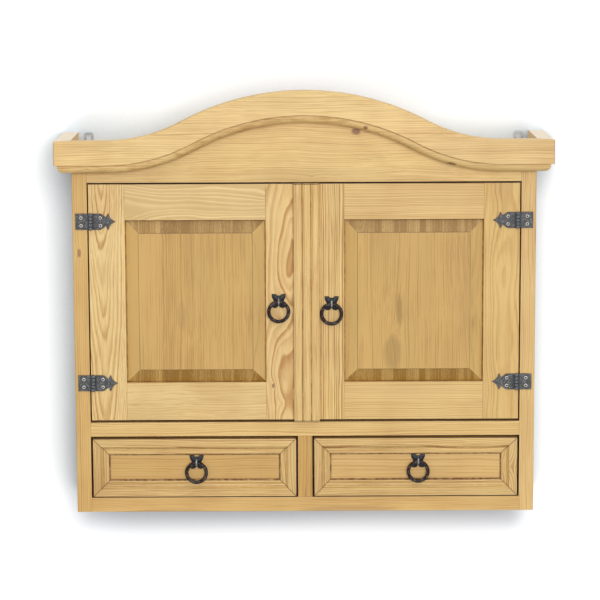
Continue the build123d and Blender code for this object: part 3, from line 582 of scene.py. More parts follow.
    # Wax on end grain; corners darkened partly by wax and partly by painted shade; deep gaps painted dark
    # as shade.
    waxed = add("Group", {"Color": face, "Position": position, "Along grain": along,
                          "End darkness": end_darkness, "Corner darkness": corner_darkness,
                          "Wax colour": colour(wax), "Gap colour": colour(gap)}, node_tree=WAX_AND_SHADE)
    face = add("Mix RGBA", {0: 1.0, 6: waxed["Color"], 7: AGED}, blend_type="MULTIPLY")[2]
    # Painted shade along the gaps round doors and drawers.
    if shut:
        gap_shade = add("Group", {"Position": position}, node_tree=GAP_SHADE_LINES)
        face = add("Mix RGBA", {0: gap_shade["Line"], 6: face, 7: colour(gap)})[2]
    # Painted light: the top faces of the cornice returns are painted pale, as if lit from above.
    if painted_light_above is not None:
        lit_top = add("Math GREATER_THAN", [height, painted_light_above])[0]
        pale = add("Mix RGBA", {0: 0.75, 6: wood["Color"], 7: colour("FBF0DA")})[2]
        face = add("Mix RGBA", {0: lit_top, 6: face, 7: pale})[2]
    relief = add("Bump", {"Height": wood["Height"], "Distance": 0.00025, "Strength": 0.5})[0]
    roughness = add("Math MULTIPLY_ADD", [wood["Late"], -0.08, 0.5])[0]
    surface = add("BsdfPrincipled", {"Base Color": face, "Roughness": roughness, "Normal": relief,
                                     "IOR": 1.48})
    add("OutputMaterial", {"Surface": surface[0]})
    return material


def dress(name, material):
    """Give a CAD node its finish."""
    for place in nodes[name].material_slots:
        place.material = material


# Height above which the top faces get painted light.
PAINTED_LIGHT_TOP_Z = cornice_top_z - 0.5 * MM
FACE_FRAME = ("side_left", "side_right", "bottom_board", "middle_board", "drawer_divider", "arch_rail")
PANEL = dict(grain="z", spacing=4.2, contrast=0.44, fine=1.5, light="CDA461", late="9E6E2D", staves=62.0,
             knot_colour="7E6128", wax="6E451C", corner_darkness=0.8, end_darkness=1.0, field_line=1.25)
# Each board's figure: grain direction, heart from its middle, and what sets it apart.
BOARDS = {
    "side_left": dict(grain="z", heart=(160, -40, 0), seed=1.0, light="DBB572", end_darkness=0.3,
                      gap="3E2412", knots=(((-418, -70, 493), (4, 20, 9), 8, 0.7),)),
    "side_right": dict(grain="z", heart=(-150, 30, 0), seed=2.0, light="E2BE82", end_darkness=0.3),
    "bottom_board": dict(grain="x", heart=(0, 30, 190), seed=3.0, light="DDB674",
                         knots=(((85, -70, 2), (100, 60, 9), 0, 0.34),
                                ((-250, -70, 1), (70, 60, 6), 0, 0.2))),
    "middle_board": dict(grain="x", heart=(0, 20, 110), seed=4.0, light="E4C080"),
    "top_board": dict(grain="x", heart=(0, 20, -150), seed=5.0),
    "drawer_divider": dict(grain="z", heart=(60, 40, 0), seed=6.0, light="CFA25A", late="9A6A30"),
    "arch_rail": dict(grain="x", heart=(60, 60, -190), spacing=3.6, seed=7.0, waver=18.0, ragged=0.8,
                      contrast=0.52, fine=1.1, light="EDCB8B", gap="3A1C0D", wax="A56C2A",
                      corner_darkness=0.25,
                      knots=(((96, -70, 717.5), (9.5, 40, 7.5), 7, 0.85),
                             ((14, -70, 634), (9, 40, 5), 5, 0.16),
                             ((-75, -70, 752), (55, 80, 12), 14, 0.0),
                             ((240, -70, 668), (30, 60, 8), 8, 0.0),
                             ((-330, -70, 640), (150, 60, 60), 0, 0.16),
                             ((40, -70, 626), (330, 60, 24), 0, 0.12))),
    "door_stop": dict(grain="x", heart=(0, 30, 90), seed=8.0),
    "shelf": dict(grain="x", heart=(0, 10, -120), spacing=4.0, seed=9.0),
    "cornice_front": dict(grain="x", heart=(0, 90, -330), spacing=3.7, seed=10.0, waver=16.0, ragged=0.7,
                          contrast=0.5, fine=1.1, light="F3D195", late="B98845", gap="5A3412", wax="A96A26",
                          end_darkness=0.25, corner_darkness=1.25, stained_behind=-94.6,
                          knots=(((420, -100, 690), (190, 60, 150), 0, 0.13),
                                 ((-150, -100, 752), (170, 60, 50), 0, 0.07),
                                 ((113, -84, 726), (5.5, 20, 4.5), 3, 0.85),
                                 ((269, -88, 656), (13, 30, 7), 4, 0.9))),
    "cornice_return_left": dict(grain="y", heart=(80, 0, -90), seed=11.0, painted_light_above=PAINTED_LIGHT_TOP_Z),
    "cornice_return_right": dict(grain="y", heart=(-80, 0, -90), seed=12.0, painted_light_above=PAINTED_LIGHT_TOP_Z),
    "door_left_hinge_stile": dict(grain="z", heart=(-9, 15, 0), spacing=3.2, seed=13.0, waver=16.0,
                                  lean=(0.0, -4.0, 90), contrast=0.85, share=0.55, light="EDCE92",
                                  gap="7A5228"),
    "door_left_meeting_stile": dict(grain="z", heart=(16, 20, 0), spacing=6.6, seed=14.0, waver=48.0,
                                    lean=(0.0, 2.0, 60), contrast=0.95, share=0.7, light="EDCC90",
                                    late="B9853F", fine=0.7,
                                    knots=(((-59, -70, 241), (3, 20, 5), 9, 0.85),
                                           ((-46, -70, 368), (13, 30, 24), 16, 0.0),
                                           ((-44, -70, 205), (12, 30, 20), 9, 0.0))),
    "door_left_top_rail": dict(grain="x", heart=(-60, 28, -90), spacing=7.0, seed=15.0, waver=70.0,
                               ragged=1.6, contrast=0.9, share=0.5, light="D2AE76", late="F0D09A", fine=0.4,
                               knots=(((-338, -70, 560), (52, 60, 15), 26, 0.0),)),
    "door_left_bottom_rail": dict(grain="x", heart=(0, 90, -150), seed=16.0, contrast=0.35, waver=22.0,
                                  light="E6C78B"),
    "door_left_panel": dict(PANEL, heart=(150, 25, 0), seed=17.0,
                            knots=(((-229, -66, 374), (10, 40, 30), 5, 0.2),
                                   ((-90, -66, 400), (15, 60, 130), 40, 0.13))),
    "door_left_meeting_reeds": dict(grain="z", heart=(90, 20, 0), seed=18.0, light="E9C88C", fine=1.5,
                                    corner_darkness=1.2),
    "door_right_hinge_stile": dict(grain="z", heart=(10, 60, 0), seed=19.0, waver=24.0, light="DEB978",
                                   gap="4A2E16"),
    "door_right_meeting_stile": dict(grain="z", heart=(60, 30, 0), spacing=3.2, seed=20.0, contrast=1.2,
                                     waver=8.0, ragged=0.7, light="E7C686", late="A5702F", fine=1.6),
    "door_right_top_rail": dict(grain="x", heart=(0, 40, 150), spacing=2.9, seed=21.0, waver=7.0,
                                ragged=0.5, contrast=0.85, fine=0.8, light="E6C487"),
    "door_right_bottom_rail": dict(grain="x", heart=(0, 40, -150), spacing=2.7, seed=22.0, waver=9.0,
                                   ragged=0.5, contrast=0.7, fine=0.8, light="E4C283"),
    "door_right_panel": dict(PANEL, heart=(-150, 20, 0), seed=27.0,
                             knots=(((167, -66, 345), (9, 40, 11), 18, 0.0),
                                    ((177, -66, 383), (6, 40, 34), 5, 0.45),
                                    ((165, -66, 303), (19, 40, 38), 4, 0.36),
                                    ((309, -66, 400), (15, 60, 130), 40, 0.13))),
    "door_right_meeting_reeds": dict(grain="z", heart=(-100, 20, 0), seed=24.0, light="E9C88C", fine=1.5,
                                     corner_darkness=1.2),
}
for side in HANDS:
    seed = 30.0 if side == "left" else 40.0
    panel_light = "D2AA69" if side == "left" else "DDB777"
    BOARDS |= {
        f"drawer_{side}_front": dict(grain="x", heart=(0, 60, 60), spacing=3.4, waver=9.0, seed=seed + 1,
                                     light=panel_light),
        f"drawer_{side}_moulding": dict(grain="x", heart=(0, 60, 120), seed=seed + 2, light="DFBC7E",
                                        mitred=True, contrast=0.85, fine=1.4, late="A06C32",
                                        end_darkness=0.3, corner_darkness=1.2, wax="8A5520", gap="3A200C",
                                        knots=(((384, -66, 84), (9, 30, 17), 12, 0.0),)),
        f"drawer_{side}_side_left": dict(grain="y", heart=(0, 0, 120), seed=seed + 3),
        f"drawer_{side}_side_right": dict(grain="y", heart=(0, 0, 130), seed=seed + 4),
        f"drawer_{side}_back": dict(grain="x", heart=(0, 0, 110), seed=seed + 5),
    }
for name in BOARDS:
    if name.startswith("drawer_") and name.endswith(("_front", "_moulding")):
        BOARDS[name]["trimmed"] = True
    if name.startswith("door_") or name.endswith(("_front", "_moulding")) or name in FACE_FRAME:
        BOARDS[name]["shut"] = name not in ("door_stop", "cornice_front")
for name, look in BOARDS.items():
    dress(name, pine(name, **look))


def birch_plywood(name, grain):
    """Bare sanded birch plywood: a pale face peeled round the log, so its figure is broad and faint."""
    material, add = material_tree(f"birch_plywood_{name}")
    position = add("TexCoord")["Object"]
    centre = middle(name) + Vector((40, 150, 60)) * MM
    lean = (0.0, -1.5, 90.0) if grain == "z" else (0.0, 1.0, 1.5)
    veneer = add("Group", {"Place": in_wood(add, position, centre, grain, lean), "Seed": 60.0,
                           "Ring spacing": 9.0, "Waver": 60.0, "Ragged": 3.0, "Contrast": 0.35,
                           "Late share": 0.7, "Fine": 0.5, "Light wood": colour("E6D2AA"),
                           "Late wood": colour("C6A472")}, node_tree=FIGURE)
    surface = add("BsdfPrincipled", {"Base Color": veneer["Color"], "Roughness": 0.62, "IOR": 1.46})
    add("OutputMaterial", {"Surface": surface[0]})
    return material


def beech_dowel():
    """Turned beech: pinkish brown, with the short dark flecks of its rays."""
    material, add = material_tree("turned_beech")
    position = add("TexCoord")["Object"]
    fleck_mm = (3.0, 0.6, 0.6)
    place = add("VectorMath MULTIPLY", [position, [1 / (length * MM) for length in fleck_mm]])[0]
    flecks = add("TexNoise", {"Vector": place, "Scale": 1.0, "Detail": 2.0})["Fac"]
    flecks = add("MapRange", [flecks, 0.55, 0.7])[0]
    face = add("Mix RGBA", {0: flecks, 6: colour("D6AE84"), 7: colour("A97B50")})[2]
    surface = add("BsdfPrincipled", {"Base Color": face, "Roughness": 0.55, "IOR": 1.46})
    add("OutputMaterial", {"Surface": surface[0]})
    return material


dress("back_panel", birch_plywood("back_panel", "z"))
for side in HANDS:
    dress(f"drawer_{side}_bottom", birch_plywood(f"drawer_{side}_bottom", "x"))
dress("carcass_dowels", beech_dowel())


# ---- Metal finishes ----
def black_iron(name, pebble_mm, roughness, dull, bright, rubbed_and_glint, rub_and_glint_amount, index=1.45, corner_shade_mm=2.6,
               curl_x=None):
    """Wrought iron blacked with stove enamel: half matt over a finely pebbled skin.

    It turns greyer where the pebbles stand proud, from rubbing and as a painted highlight, and its corners
    are darkened by painted shade. With curl_x, a painted shadow runs beside the curl of a hinge's knuckles.
    Its pebbles are drawn coarser than the real ones, so that they show.
    """
    material, add = material_tree(name)
    position = add("TexCoord")["Object"]
    pebbles = add("TexNoise", {"Vector": position, "Scale": 1 / (pebble_mm * MM * 2), "Detail": 3.0,
                               "Roughness": 0.65})["Fac"]
    blotches = add("TexNoise", {"Vector": position, "Scale": 160.0, "Detail": 2.0})["Fac"]
    # Grey where the pebbles stand proud: rubbing, and also a painted highlight.
    rub_and_glint_mask = add("MapRange", [pebbles, 0.46, 0.7, 0.0, rub_and_glint_amount], interpolation_type="SMOOTHSTEP")[0]
    enamel = add("Mix RGBA", {0: blotches, 6: colour(dull), 7: colour(bright)})[2]
    face = add("Mix RGBA", {0: rub_and_glint_mask, 6: enamel, 7: colour(rubbed_and_glint)})[2]
    # Painted shade in the iron's corners.
    openness = add("AmbientOcclusion", {"Distance": corner_shade_mm * MM}, samples=8)["AO"]
    corner_shade = add("MapRange", [openness, 0.8, 0.4, 0.0, 0.85])[0]
    face = add("Mix RGBA", {0: corner_shade, 6: face, 7: colour("1B120D")})[2]
    if curl_x is not None:
        across = add("SeparateXYZ", [position])[0]
        from_curl = add("Math ABSOLUTE",
                        [add("Math SUBTRACT", [add("Math ABSOLUTE", [across])[0], curl_x])[0]])[0]
        shadow = add("MapRange", [from_curl, 5.4 * MM, 8.2 * MM, 0.88, 0.0])[0]
        face = add("Mix RGBA", {0: shadow, 6: face, 7: colour("120C0A")})[2]
    sheen = add("Math MULTIPLY_ADD", [blotches, 0.12, roughness - 0.06])[0]
    relief = add("Bump", {"Height": pebbles, "Distance": 0.0005, "Strength": 0.8})[0]
    surface = add("BsdfPrincipled", {"Base Color": face, "Roughness": sheen, "Normal": relief,
                                     "IOR": index})
    add("OutputMaterial", {"Surface": surface[0]})
    return material


def zinc_plate(name):
    """Zinc-plated steel: pale grey metal with faint blotches where the plating took unevenly."""
    material, add = material_tree(name)
    position = add("TexCoord")["Object"]
    bloom = add("TexNoise", {"Vector": position, "Scale": 260.0, "Detail": 3.0})["Fac"]
    face = add("Mix RGBA", {0: bloom, 6: colour("7A7C7E"), 7: colour("A0A2A1")})[2]
    roughness = add("Math MULTIPLY_ADD", [bloom, 0.22, 0.24])[0]
    surface = add("BsdfPrincipled", {"Base Color": face, "Metallic": 1.0, "Roughness": roughness})
    add("OutputMaterial", {"Surface": surface[0]})
    return material


def screw_steel():
    """Zinc-plated screw head: a bright rim round its middle, and a dark centre painted as the shade in and
    round its cross recess.
    """
    material, add = material_tree("zinc_plated_screw_head")
    out_from_middle = add("Attribute", attribute_name="from_middle_mm")["Fac"]
    # The bright ring, and inside it the painted shade of the recess.
    rim = add("MapRange", [out_from_middle, 1.6, 2.1])[0]
    skirt = add("MapRange", [out_from_middle, 2.6, 3.2, 1.0, 0.12])[0]
    rim = add("Math MULTIPLY", [rim, skirt])[0]
    face = add("Mix RGBA", {0: rim, 6: colour("080707"), 7: colour("F2EFE6")})[2]
    surface = add("BsdfPrincipled", {"Base Color": face, "Metallic": 0.85, "Roughness": 0.34})
    add("OutputMaterial", {"Surface": surface[0]})
    return material


HINGE_IRON = black_iron("stove_blacked_iron_plate", pebble_mm=1.3, roughness=0.42,
                        dull="1E1E20", bright="3D3C3D", rubbed_and_glint="86878A", rub_and_glint_amount=0.75, corner_shade_mm=4.0,
                        curl_x=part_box("hinge_pins")[1].x - 1.5 * MM)
# The knuckles' lighter colours: rubbing, and also a painted sheen.
KNUCKLE_IRON = black_iron("iron_knuckles_rubbing_and_painted_sheen", pebble_mm=1.2, roughness=0.36,
                          dull="434A50", bright="5E676E", rubbed_and_glint="979FA5", rub_and_glint_amount=0.6)
ROSE_IRON = black_iron("stove_blacked_iron_rose", pebble_mm=1.0, roughness=0.30,
                       dull="0B0B0D", bright="191B1F", rubbed_and_glint="6A7076", rub_and_glint_amount=0.5, index=1.25)
# The bar's light spots stand in for glints: painted highlights.
BAR_IRON = black_iron("stove_blacked_iron_bar", pebble_mm=2.2, roughness=0.26,
                      dull="140C0B", bright="2A1E1D", rubbed_and_glint="806F69", rub_and_glint_amount=0.55, index=1.24)
# The eye's light colours are a painted highlight.
EYE_IRON = black_iron("iron_eye_painted_highlight", pebble_mm=1.6, roughness=0.24,
                      dull="66666A", bright="8C8C90", rubbed_and_glint="E6E6EA", rub_and_glint_amount=0.9)
ZINC = zinc_plate("zinc_plated_steel")
SCREW = screw_steel()


# ---- How pieces are made and kept ----
def keep(piece, body, slot, *replaced):
    """A finished piece rides on its body and stands for CAD nodes, which it hides. Its slot is not used."""
    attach(piece, body)
    if replaced:
        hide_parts(*replaced)
    return piece


def worked_out(thing):
    """The plain mesh that an object's curve or modifiers make."""
    graph = bpy.context.evaluated_depsgraph_get()
    return bpy.data.meshes.new_from_object(thing.evaluated_get(graph), depsgraph=graph)


def polyline(curve, points):
    """A spline of a curve, with straight stretches between its points."""
    spline = curve.splines.new("POLY")
    spline.points.add(len(points) - 1)
    for point, place in zip(spline.points, points):
        point.co = (*place, 1)
    return spline


def curve_mesh(curve, finish):
    """The mesh that a curve makes, in its finish."""
    holder = placed(curve.name, curve)
    mesh = worked_out(holder)
    bpy.data.objects.remove(holder)
    mesh.materials.clear()
    mesh.materials.append(finish)
    return mesh


def grown(name, tree, points=(), **inputs):
    """A piece that a Geometry Nodes tree makes, from loose points where the tree takes them."""
    start = bpy.data.meshes.new(name)
    start.from_pydata([Vector(p) for p in points], [], [])
    piece = placed(name, start)
    modifier = piece.modifiers.new("grow", "NODES")
    modifier.node_group = tree
    sockets = {item.name: item.identifier for item in tree.interface.items_tree if item.in_out == "INPUT"}
    for label, value in inputs.items():
        modifier[sockets[label.replace("_", " ").capitalize()]] = value
    mesh = worked_out(piece)
    piece.modifiers.clear()
    piece.data = mesh
    return piece


def finished(tree, add, shape, finish):
    """The tree, with its shape made real, given its finish and handed out."""
    solid = add("GeometryNodeRealizeInstances", [shape])[0]
    solid = add("GeometryNodeSetMaterial", {"Geometry": solid, "Material": finish})[0]
    add("NodeGroupOutput", [solid])
    return tree


# ---- Rings ----
def forged_ring_tree():
    """Tree: a ring bent from round bar, a little uneven from the hammer."""
    tree, add, given = group_tree("forged_ring", "GeometryNodeTree", {
        "Vector": ["Centre"],
        "Float": ["Ring radius", "Bar radius", "Unevenness", "Seed"],
        "Material": ["Finish"],
    }, {"Geometry": ["Geometry"]})
    path = add("GeometryNodeCurvePrimitiveCircle", {"Resolution": 128, "Radius": given["Ring radius"]})
    section = add("GeometryNodeCurvePrimitiveCircle", {"Resolution": 28, "Radius": given["Bar radius"]})
    bar = add("GeometryNodeCurveToMesh", [path[0], section[0]])[0]
    here = add("GeometryNodeInputPosition")[0]
    blows = add("TexNoise", {"Vector": here, "W": given["Seed"], "Scale": 150.0, "Detail": 1.0},
                noise_dimensions="4D")[0]
    depth = add("Math MULTIPLY", [add("Math SUBTRACT", [blows, 0.5])[0], given["Unevenness"]])[0]
    outward = add("GeometryNodeInputNormal")[0]
    shift = add("VectorMath SCALE", {0: outward, "Scale": depth})[0]
    bar = add("GeometryNodeSetPosition", {"Geometry": bar, "Offset": shift})[0]
    bar = add("GeometryNodeSetShadeSmooth", [bar])[0]
    bar = add("GeometryNodeTransform",
              {"Geometry": bar, "Translation": given["Centre"], "Rotation": (math.pi / 2, 0, 0)})[0]
    return finished(tree, add, bar, given["Finish"])


RING_TREE = forged_ring_tree()
FORGED_EXTRA_MM = 0.55
FORGED_UNEVEN_MM = 1.1
PULLS = [f"{leaf}_{side}" for leaf in ("door", "drawer") for side in HANDS]
for order, pull in enumerate(PULLS):
    cad_ring = f"{pull}_pull_ring"
    size = high(cad_ring) - low(cad_ring)
    bar_radius = size.y / 2 + FORGED_EXTRA_MM * MM
    ring = grown(f"ring_{pull}", RING_TREE, centre=middle(cad_ring), ring_radius=size.x / 2 - bar_radius,
                 bar_radius=bar_radius, unevenness=FORGED_UNEVEN_MM * MM, seed=order * 7.0, finish=BAR_IRON)
    keep(ring, f"ring_{pull}", "black_iron", cad_ring)


# ---- Roses, eyes and nuts ----
ROSE_MM = 26.6
ROSE_THICKNESS_MM = 2.0
ROSE_CROWN_MM = ROSE_THICKNESS_MM + 0.4
ROSE_RIM_MM = ((0.0, 0.0), (0.0, 0.75), (0.18, 1.1), (0.5, 1.32))       # inset and height
ROSE_SHARES = (0.86, 0.74, 0.6, 0.45, 0.3, 0.15)        # of the outline, where the swelling's loops run
RING_BAR_MM = 5.5
EYE_WIRE_MM = 3.0
EYE_STAND_MM = 4.7
LOOP_PLAY_MM = 0.62
SHANK_SCALES = (1.33, 1.33, 1.1)        # of the wire's thickness, from the shank's end


def arc_points(start, through, end, steps):
    """Points along the round arc from start through a middle point to end, without its start."""
    a, b, c = (complex(*p) for p in (start, through, end))
    w = (c - a) / (b - a)
    centre = a + (b - a) * (w - abs(w) ** 2) / (2j * w.imag)
    radius = abs(a - centre)
    first = math.atan2((a - centre).imag, (a - centre).real)
    sweep = math.atan2((c - centre).imag, (c - centre).real) - first
    if (w.imag > 0) != (sweep > 0):
        sweep += math.copysign(2 * math.pi, w.imag)
    angles = [first + sweep * (i + 1) / steps for i in range(steps)]
    return [(centre.real + radius * math.cos(t), centre.imag + radius * math.sin(t)) for t in angles]


def line_points(start, end, steps):
    """Points along a straight line, without its start."""
    return [tuple(a + (b - a) * (i + 1) / steps for a, b in zip(start, end)) for i in range(steps)]


def rose_half():
    """Right half of the rose from its top notch round to its lower notch, in millimetres."""
    half = ROSE_MM / 2

    def at(x, z):
        return (x * half, z * half)

    wing = [at(0, 0.76), at(0.24, 0.80), at(0.40, 1.0), at(1.0, 1.0), at(0.94, 0.48), at(0.74, 0.16)]
    wing += [at(0.68, -0.08), at(0.88, -0.30)]
    points = [wing[0]]
    for start, end in zip(wing, wing[1:]):
        points += line_points(start, end, 6)
    points += arc_points(wing[-1], at(0.93, -0.78), at(0.44, -0.97), 16)
    points += line_points(at(0.44, -0.97), at(0.20, -0.90), 4)
    points += line_points(at(0.20, -0.90), at(0, -0.60), 6)
    return points


def rose_mesh(name, x, y, z):
    """Stamped rose: a rounded rim, and wings and lobes that swell towards the middle."""
    right = rose_half()
    outline = right + [(-px, pz) for px, pz in right[-2:0:-1]]
    mesh = bmesh.new()
    loops = []
    rim_height = ROSE_RIM_MM[-1][1]

    def add_loop(shares, height):
        """The outline drawn in by its shares, at a height over the wood."""
        points = [(x + px * share * MM, y - height * MM, z + pz * share * MM)
                  for (px, pz), share in zip(outline, shares)]
        loops.append([mesh.verts.new(point) for point in points])

    for inset, height in ROSE_RIM_MM:
        add_loop([1 - inset / math.hypot(px, pz) for px, pz in outline], height)
    count = len(outline)
    for share in ROSE_SHARES:
        swell = math.cos(share * math.pi / 2) ** 0.8
        add_loop([share] * count, rim_height + (ROSE_CROWN_MM - rim_height) * swell)
    for outer, inner in zip(loops, loops[1:]):
        for i in range(count):
            mesh.faces.new((outer[i], outer[(i + 1) % count], inner[(i + 1) % count], inner[i]))
    peak = mesh.verts.new((x, y - ROSE_CROWN_MM * MM, z))
    for i in range(count):
        mesh.faces.new((loops[-1][i], loops[-1][(i + 1) % count], peak))
    mesh.faces.new(loops[0])
    for face in mesh.faces:
        face.smooth = len(face.verts) < 5
    bmesh.ops.recalc_face_normals(mesh, faces=mesh.faces)
    made = bpy.data.meshes.new(name)
    mesh.to_mesh(made)
    mesh.free()
    made.materials.append(ROSE_IRON)
    return made


def eye_mesh(name, x, face, z, shank_end, eye_out):
    """Eye bolt: bar bent into a loop round the ring, with a thicker shank through the wood."""
    curve = bpy.data.curves.new(name, "CURVE")
    curve.dimensions = "3D"
    curve.bevel_depth = EYE_WIRE_MM / 2 * MM
    curve.bevel_resolution = 5
    curve.resolution_u = 6
    curve.use_fill_caps = True
    loop_radius = (RING_BAR_MM / 2 + LOOP_PLAY_MM + EYE_WIRE_MM / 2) * MM
    centre_y = face - eye_out
    turn_start, turn = math.radians(12), math.radians(338)
    steps = 30
    points = [(x, shank_end, z), (x, face + 0.5 * MM, z), (x, face - 1.2 * MM, z)]
    for i in range(steps + 1):
        angle = turn_start + turn * i / steps
        points.append((x, centre_y + loop_radius * math.cos(angle), z + loop_radius * math.sin(angle)))
    spline = polyline(curve, points)
    for point, radius in zip(spline.points, SHANK_SCALES):
        point.radius = radius
    spline.use_smooth = True
    return curve_mesh(curve, EYE_IRON)


def nut_tree():
    """Tree: a chamfered hexagon nut on an axis along Y, seated at its place."""
    tree, add, given = group_tree("hexagon_nut", "GeometryNodeTree", {
        "Vector": ["Place"],
        "Float": ["Across flats", "Thickness"],
        "Material": ["Finish"],
    }, {"Geometry": ["Geometry"]})
    half = add("Math MULTIPLY", [given["Thickness"], 0.5])[0]
    lift = add("CombineXYZ", {2: half})[0]
    corner = add("Math MULTIPLY", [given["Across flats"], 0.5 / math.cos(math.pi / 6)])[0]
    prism = add("GeometryNodeMeshCylinder",
                {"Vertices": 6, "Radius": corner, "Depth": given["Thickness"]})[0]
    prism = add("GeometryNodeTransform", {"Geometry": prism, "Translation": lift})[0]
    top = add("Math MULTIPLY", [given["Across flats"], 0.47])[0]
    foot = add("Math MULTIPLY", [given["Across flats"], 0.74])[0]
    cone = add("GeometryNodeMeshCone",
               {"Vertices": 48, "Radius Top": top, "Radius Bottom": foot, "Depth": given["Thickness"]})[0]
    # Both meshes of an intersection share one socket.
    nut = add("GeometryNodeMeshBoolean INTERSECT", {1: prism})[0]
    tree.links.new(cone, nut.node.inputs[1])
    turned = add("GeometryNodeTransform",
                 {"Geometry": nut, "Translation": given["Place"], "Rotation": (-math.pi / 2, 0, 0)})[0]
    return finished(tree, add, turned, given["Finish"])


NUT_TREE = nut_tree()
NUT_MM = 3.2
NUT_FLATS_MM = 8.0
SHANK_END_MM = 1.0
for pull in PULLS:
    mount = f"{pull}_pull_mount"
    ring_middle = middle(f"{pull}_pull_ring")
    ring_size = high(f"{pull}_pull_ring") - low(f"{pull}_pull_ring")
    eye_x, eye_y = ring_middle.x, ring_middle.y
    eye_z = ring_middle.z + (ring_size.x - ring_size.y) / 2
    eye_out = (ROSE_THICKNESS_MM + EYE_STAND_MM + EYE_WIRE_MM / 2) * MM
    face_y = eye_y + eye_out
    rose = placed(f"rose_{pull}", rose_mesh(f"rose_{pull}", eye_x, face_y, eye_z))
    keep(rose, pull, "black_iron", mount)
    eye = placed(f"eye_{pull}", eye_mesh(f"eye_{pull}", eye_x, face_y, eye_z, high(mount).y, eye_out))
    keep(eye, pull, "black_iron")
    nut_y = high(mount).y - (NUT_MM + SHANK_END_MM) * MM
    nut = grown(f"nut_{pull}", NUT_TREE, place=(eye_x, nut_y, eye_z), across_flats=NUT_FLATS_MM * MM,
                thickness=NUT_MM * MM, finish=ZINC)
    keep(nut, pull, "zinc")


# ---- Hinges ----
HINGE_HEIGHT_MM = 30.0
HINGE_PLATE_MM = 2.0
KNUCKLE_MM = 7.0
KNUCKLES = 5
KNUCKLE_OVERHANG_MM = 0.7
KNUCKLE_GAP_MM = 0.3
KNUCKLE_PITCH_MM = (HINGE_HEIGHT_MM + 2 * KNUCKLE_OVERHANG_MM) / KNUCKLES
FRAME_LEAF_MM = 28.5
SCREW_OFFSET_MM = 17.8
SCREW_PITCH_MM = 14.5
pins_low, pins_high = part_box("hinge_pins")
hinge_x = pins_high.x - 1.5 * MM
hinge_y = (pins_low.y + pins_high.y) / 2
hinge_half = (HINGE_HEIGHT_MM / 2 + KNUCKLE_OVERHANG_MM) * MM
hinge_heights = (pins_low.z + hinge_half, pins_high.z - hinge_half)
plate_back = high("frame_hinge_leaves").y


def knuckle_edge(leaf):
    """Inner edge of a leaf from bottom to top, with a tab to the axis behind each of its knuckles."""
    own = 0 if leaf == "frame" else 1
    half = HINGE_HEIGHT_MM / 2
    edge = []
    for i in range(KNUCKLES):
        bottom = i * KNUCKLE_PITCH_MM - half - KNUCKLE_OVERHANG_MM
        low_end = max(bottom + KNUCKLE_GAP_MM / 2, -half)
        high_end = min(bottom + KNUCKLE_PITCH_MM - KNUCKLE_GAP_MM / 2, half)
        u = 0.0 if i % 2 == own else KNUCKLE_MM / 2 + KNUCKLE_GAP_MM
        edge += [(u, low_end), (u, high_end)]
    return edge


def leaf_outline(leaf):
    """Outline of a hinge leaf as millimetres from the axis and from its middle height."""
    half = HINGE_HEIGHT_MM / 2
    if leaf == "frame":
        return knuckle_edge(leaf) + [(FRAME_LEAF_MM, half), (FRAME_LEAF_MM, -half)]
    body, neck, barb, tip, neck_half = 18.4, 28.0, 32.2, 46.0, 7.6
    upper = [(body, half)]
    upper += arc_points((body, half), (23.6, 11.6), (neck, neck_half), 8)
    upper += [(barb - 0.6, half), (barb + 0.8, half)]
    upper += arc_points((barb + 0.8, half), (36.6, 6.4), (tip, 0), 12)
    return knuckle_edge(leaf) + upper + [(u, -v) for u, v in upper[-2::-1]]


def leaf_mesh(name, leaf, side):
    """The two leaves of one side, cut from plate, with their edges eased."""
    away = HANDS[side] * (1 if leaf == "frame" else -1)
    ease = 0.35 * MM
    curve = bpy.data.curves.new(name, "CURVE")
    curve.dimensions = "2D"
    curve.fill_mode = "BOTH"
    curve.extrude = HINGE_PLATE_MM / 2 * MM - ease
    curve.bevel_depth = ease
    curve.bevel_resolution = 2
    curve.offset = -ease
    for z in hinge_heights:
        points = [(HANDS[side] * hinge_x + away * u * MM, z + v * MM, 0) for u, v in leaf_outline(leaf)]
        polyline(curve, points).use_cyclic_u = True
    made = curve_mesh(curve, HINGE_IRON)
    upright = Matrix.Rotation(math.pi / 2, 4, "X")
    made.transform(Matrix.Translation((0, plate_back - HINGE_PLATE_MM / 2 * MM, 0)) @ upright)
    return made


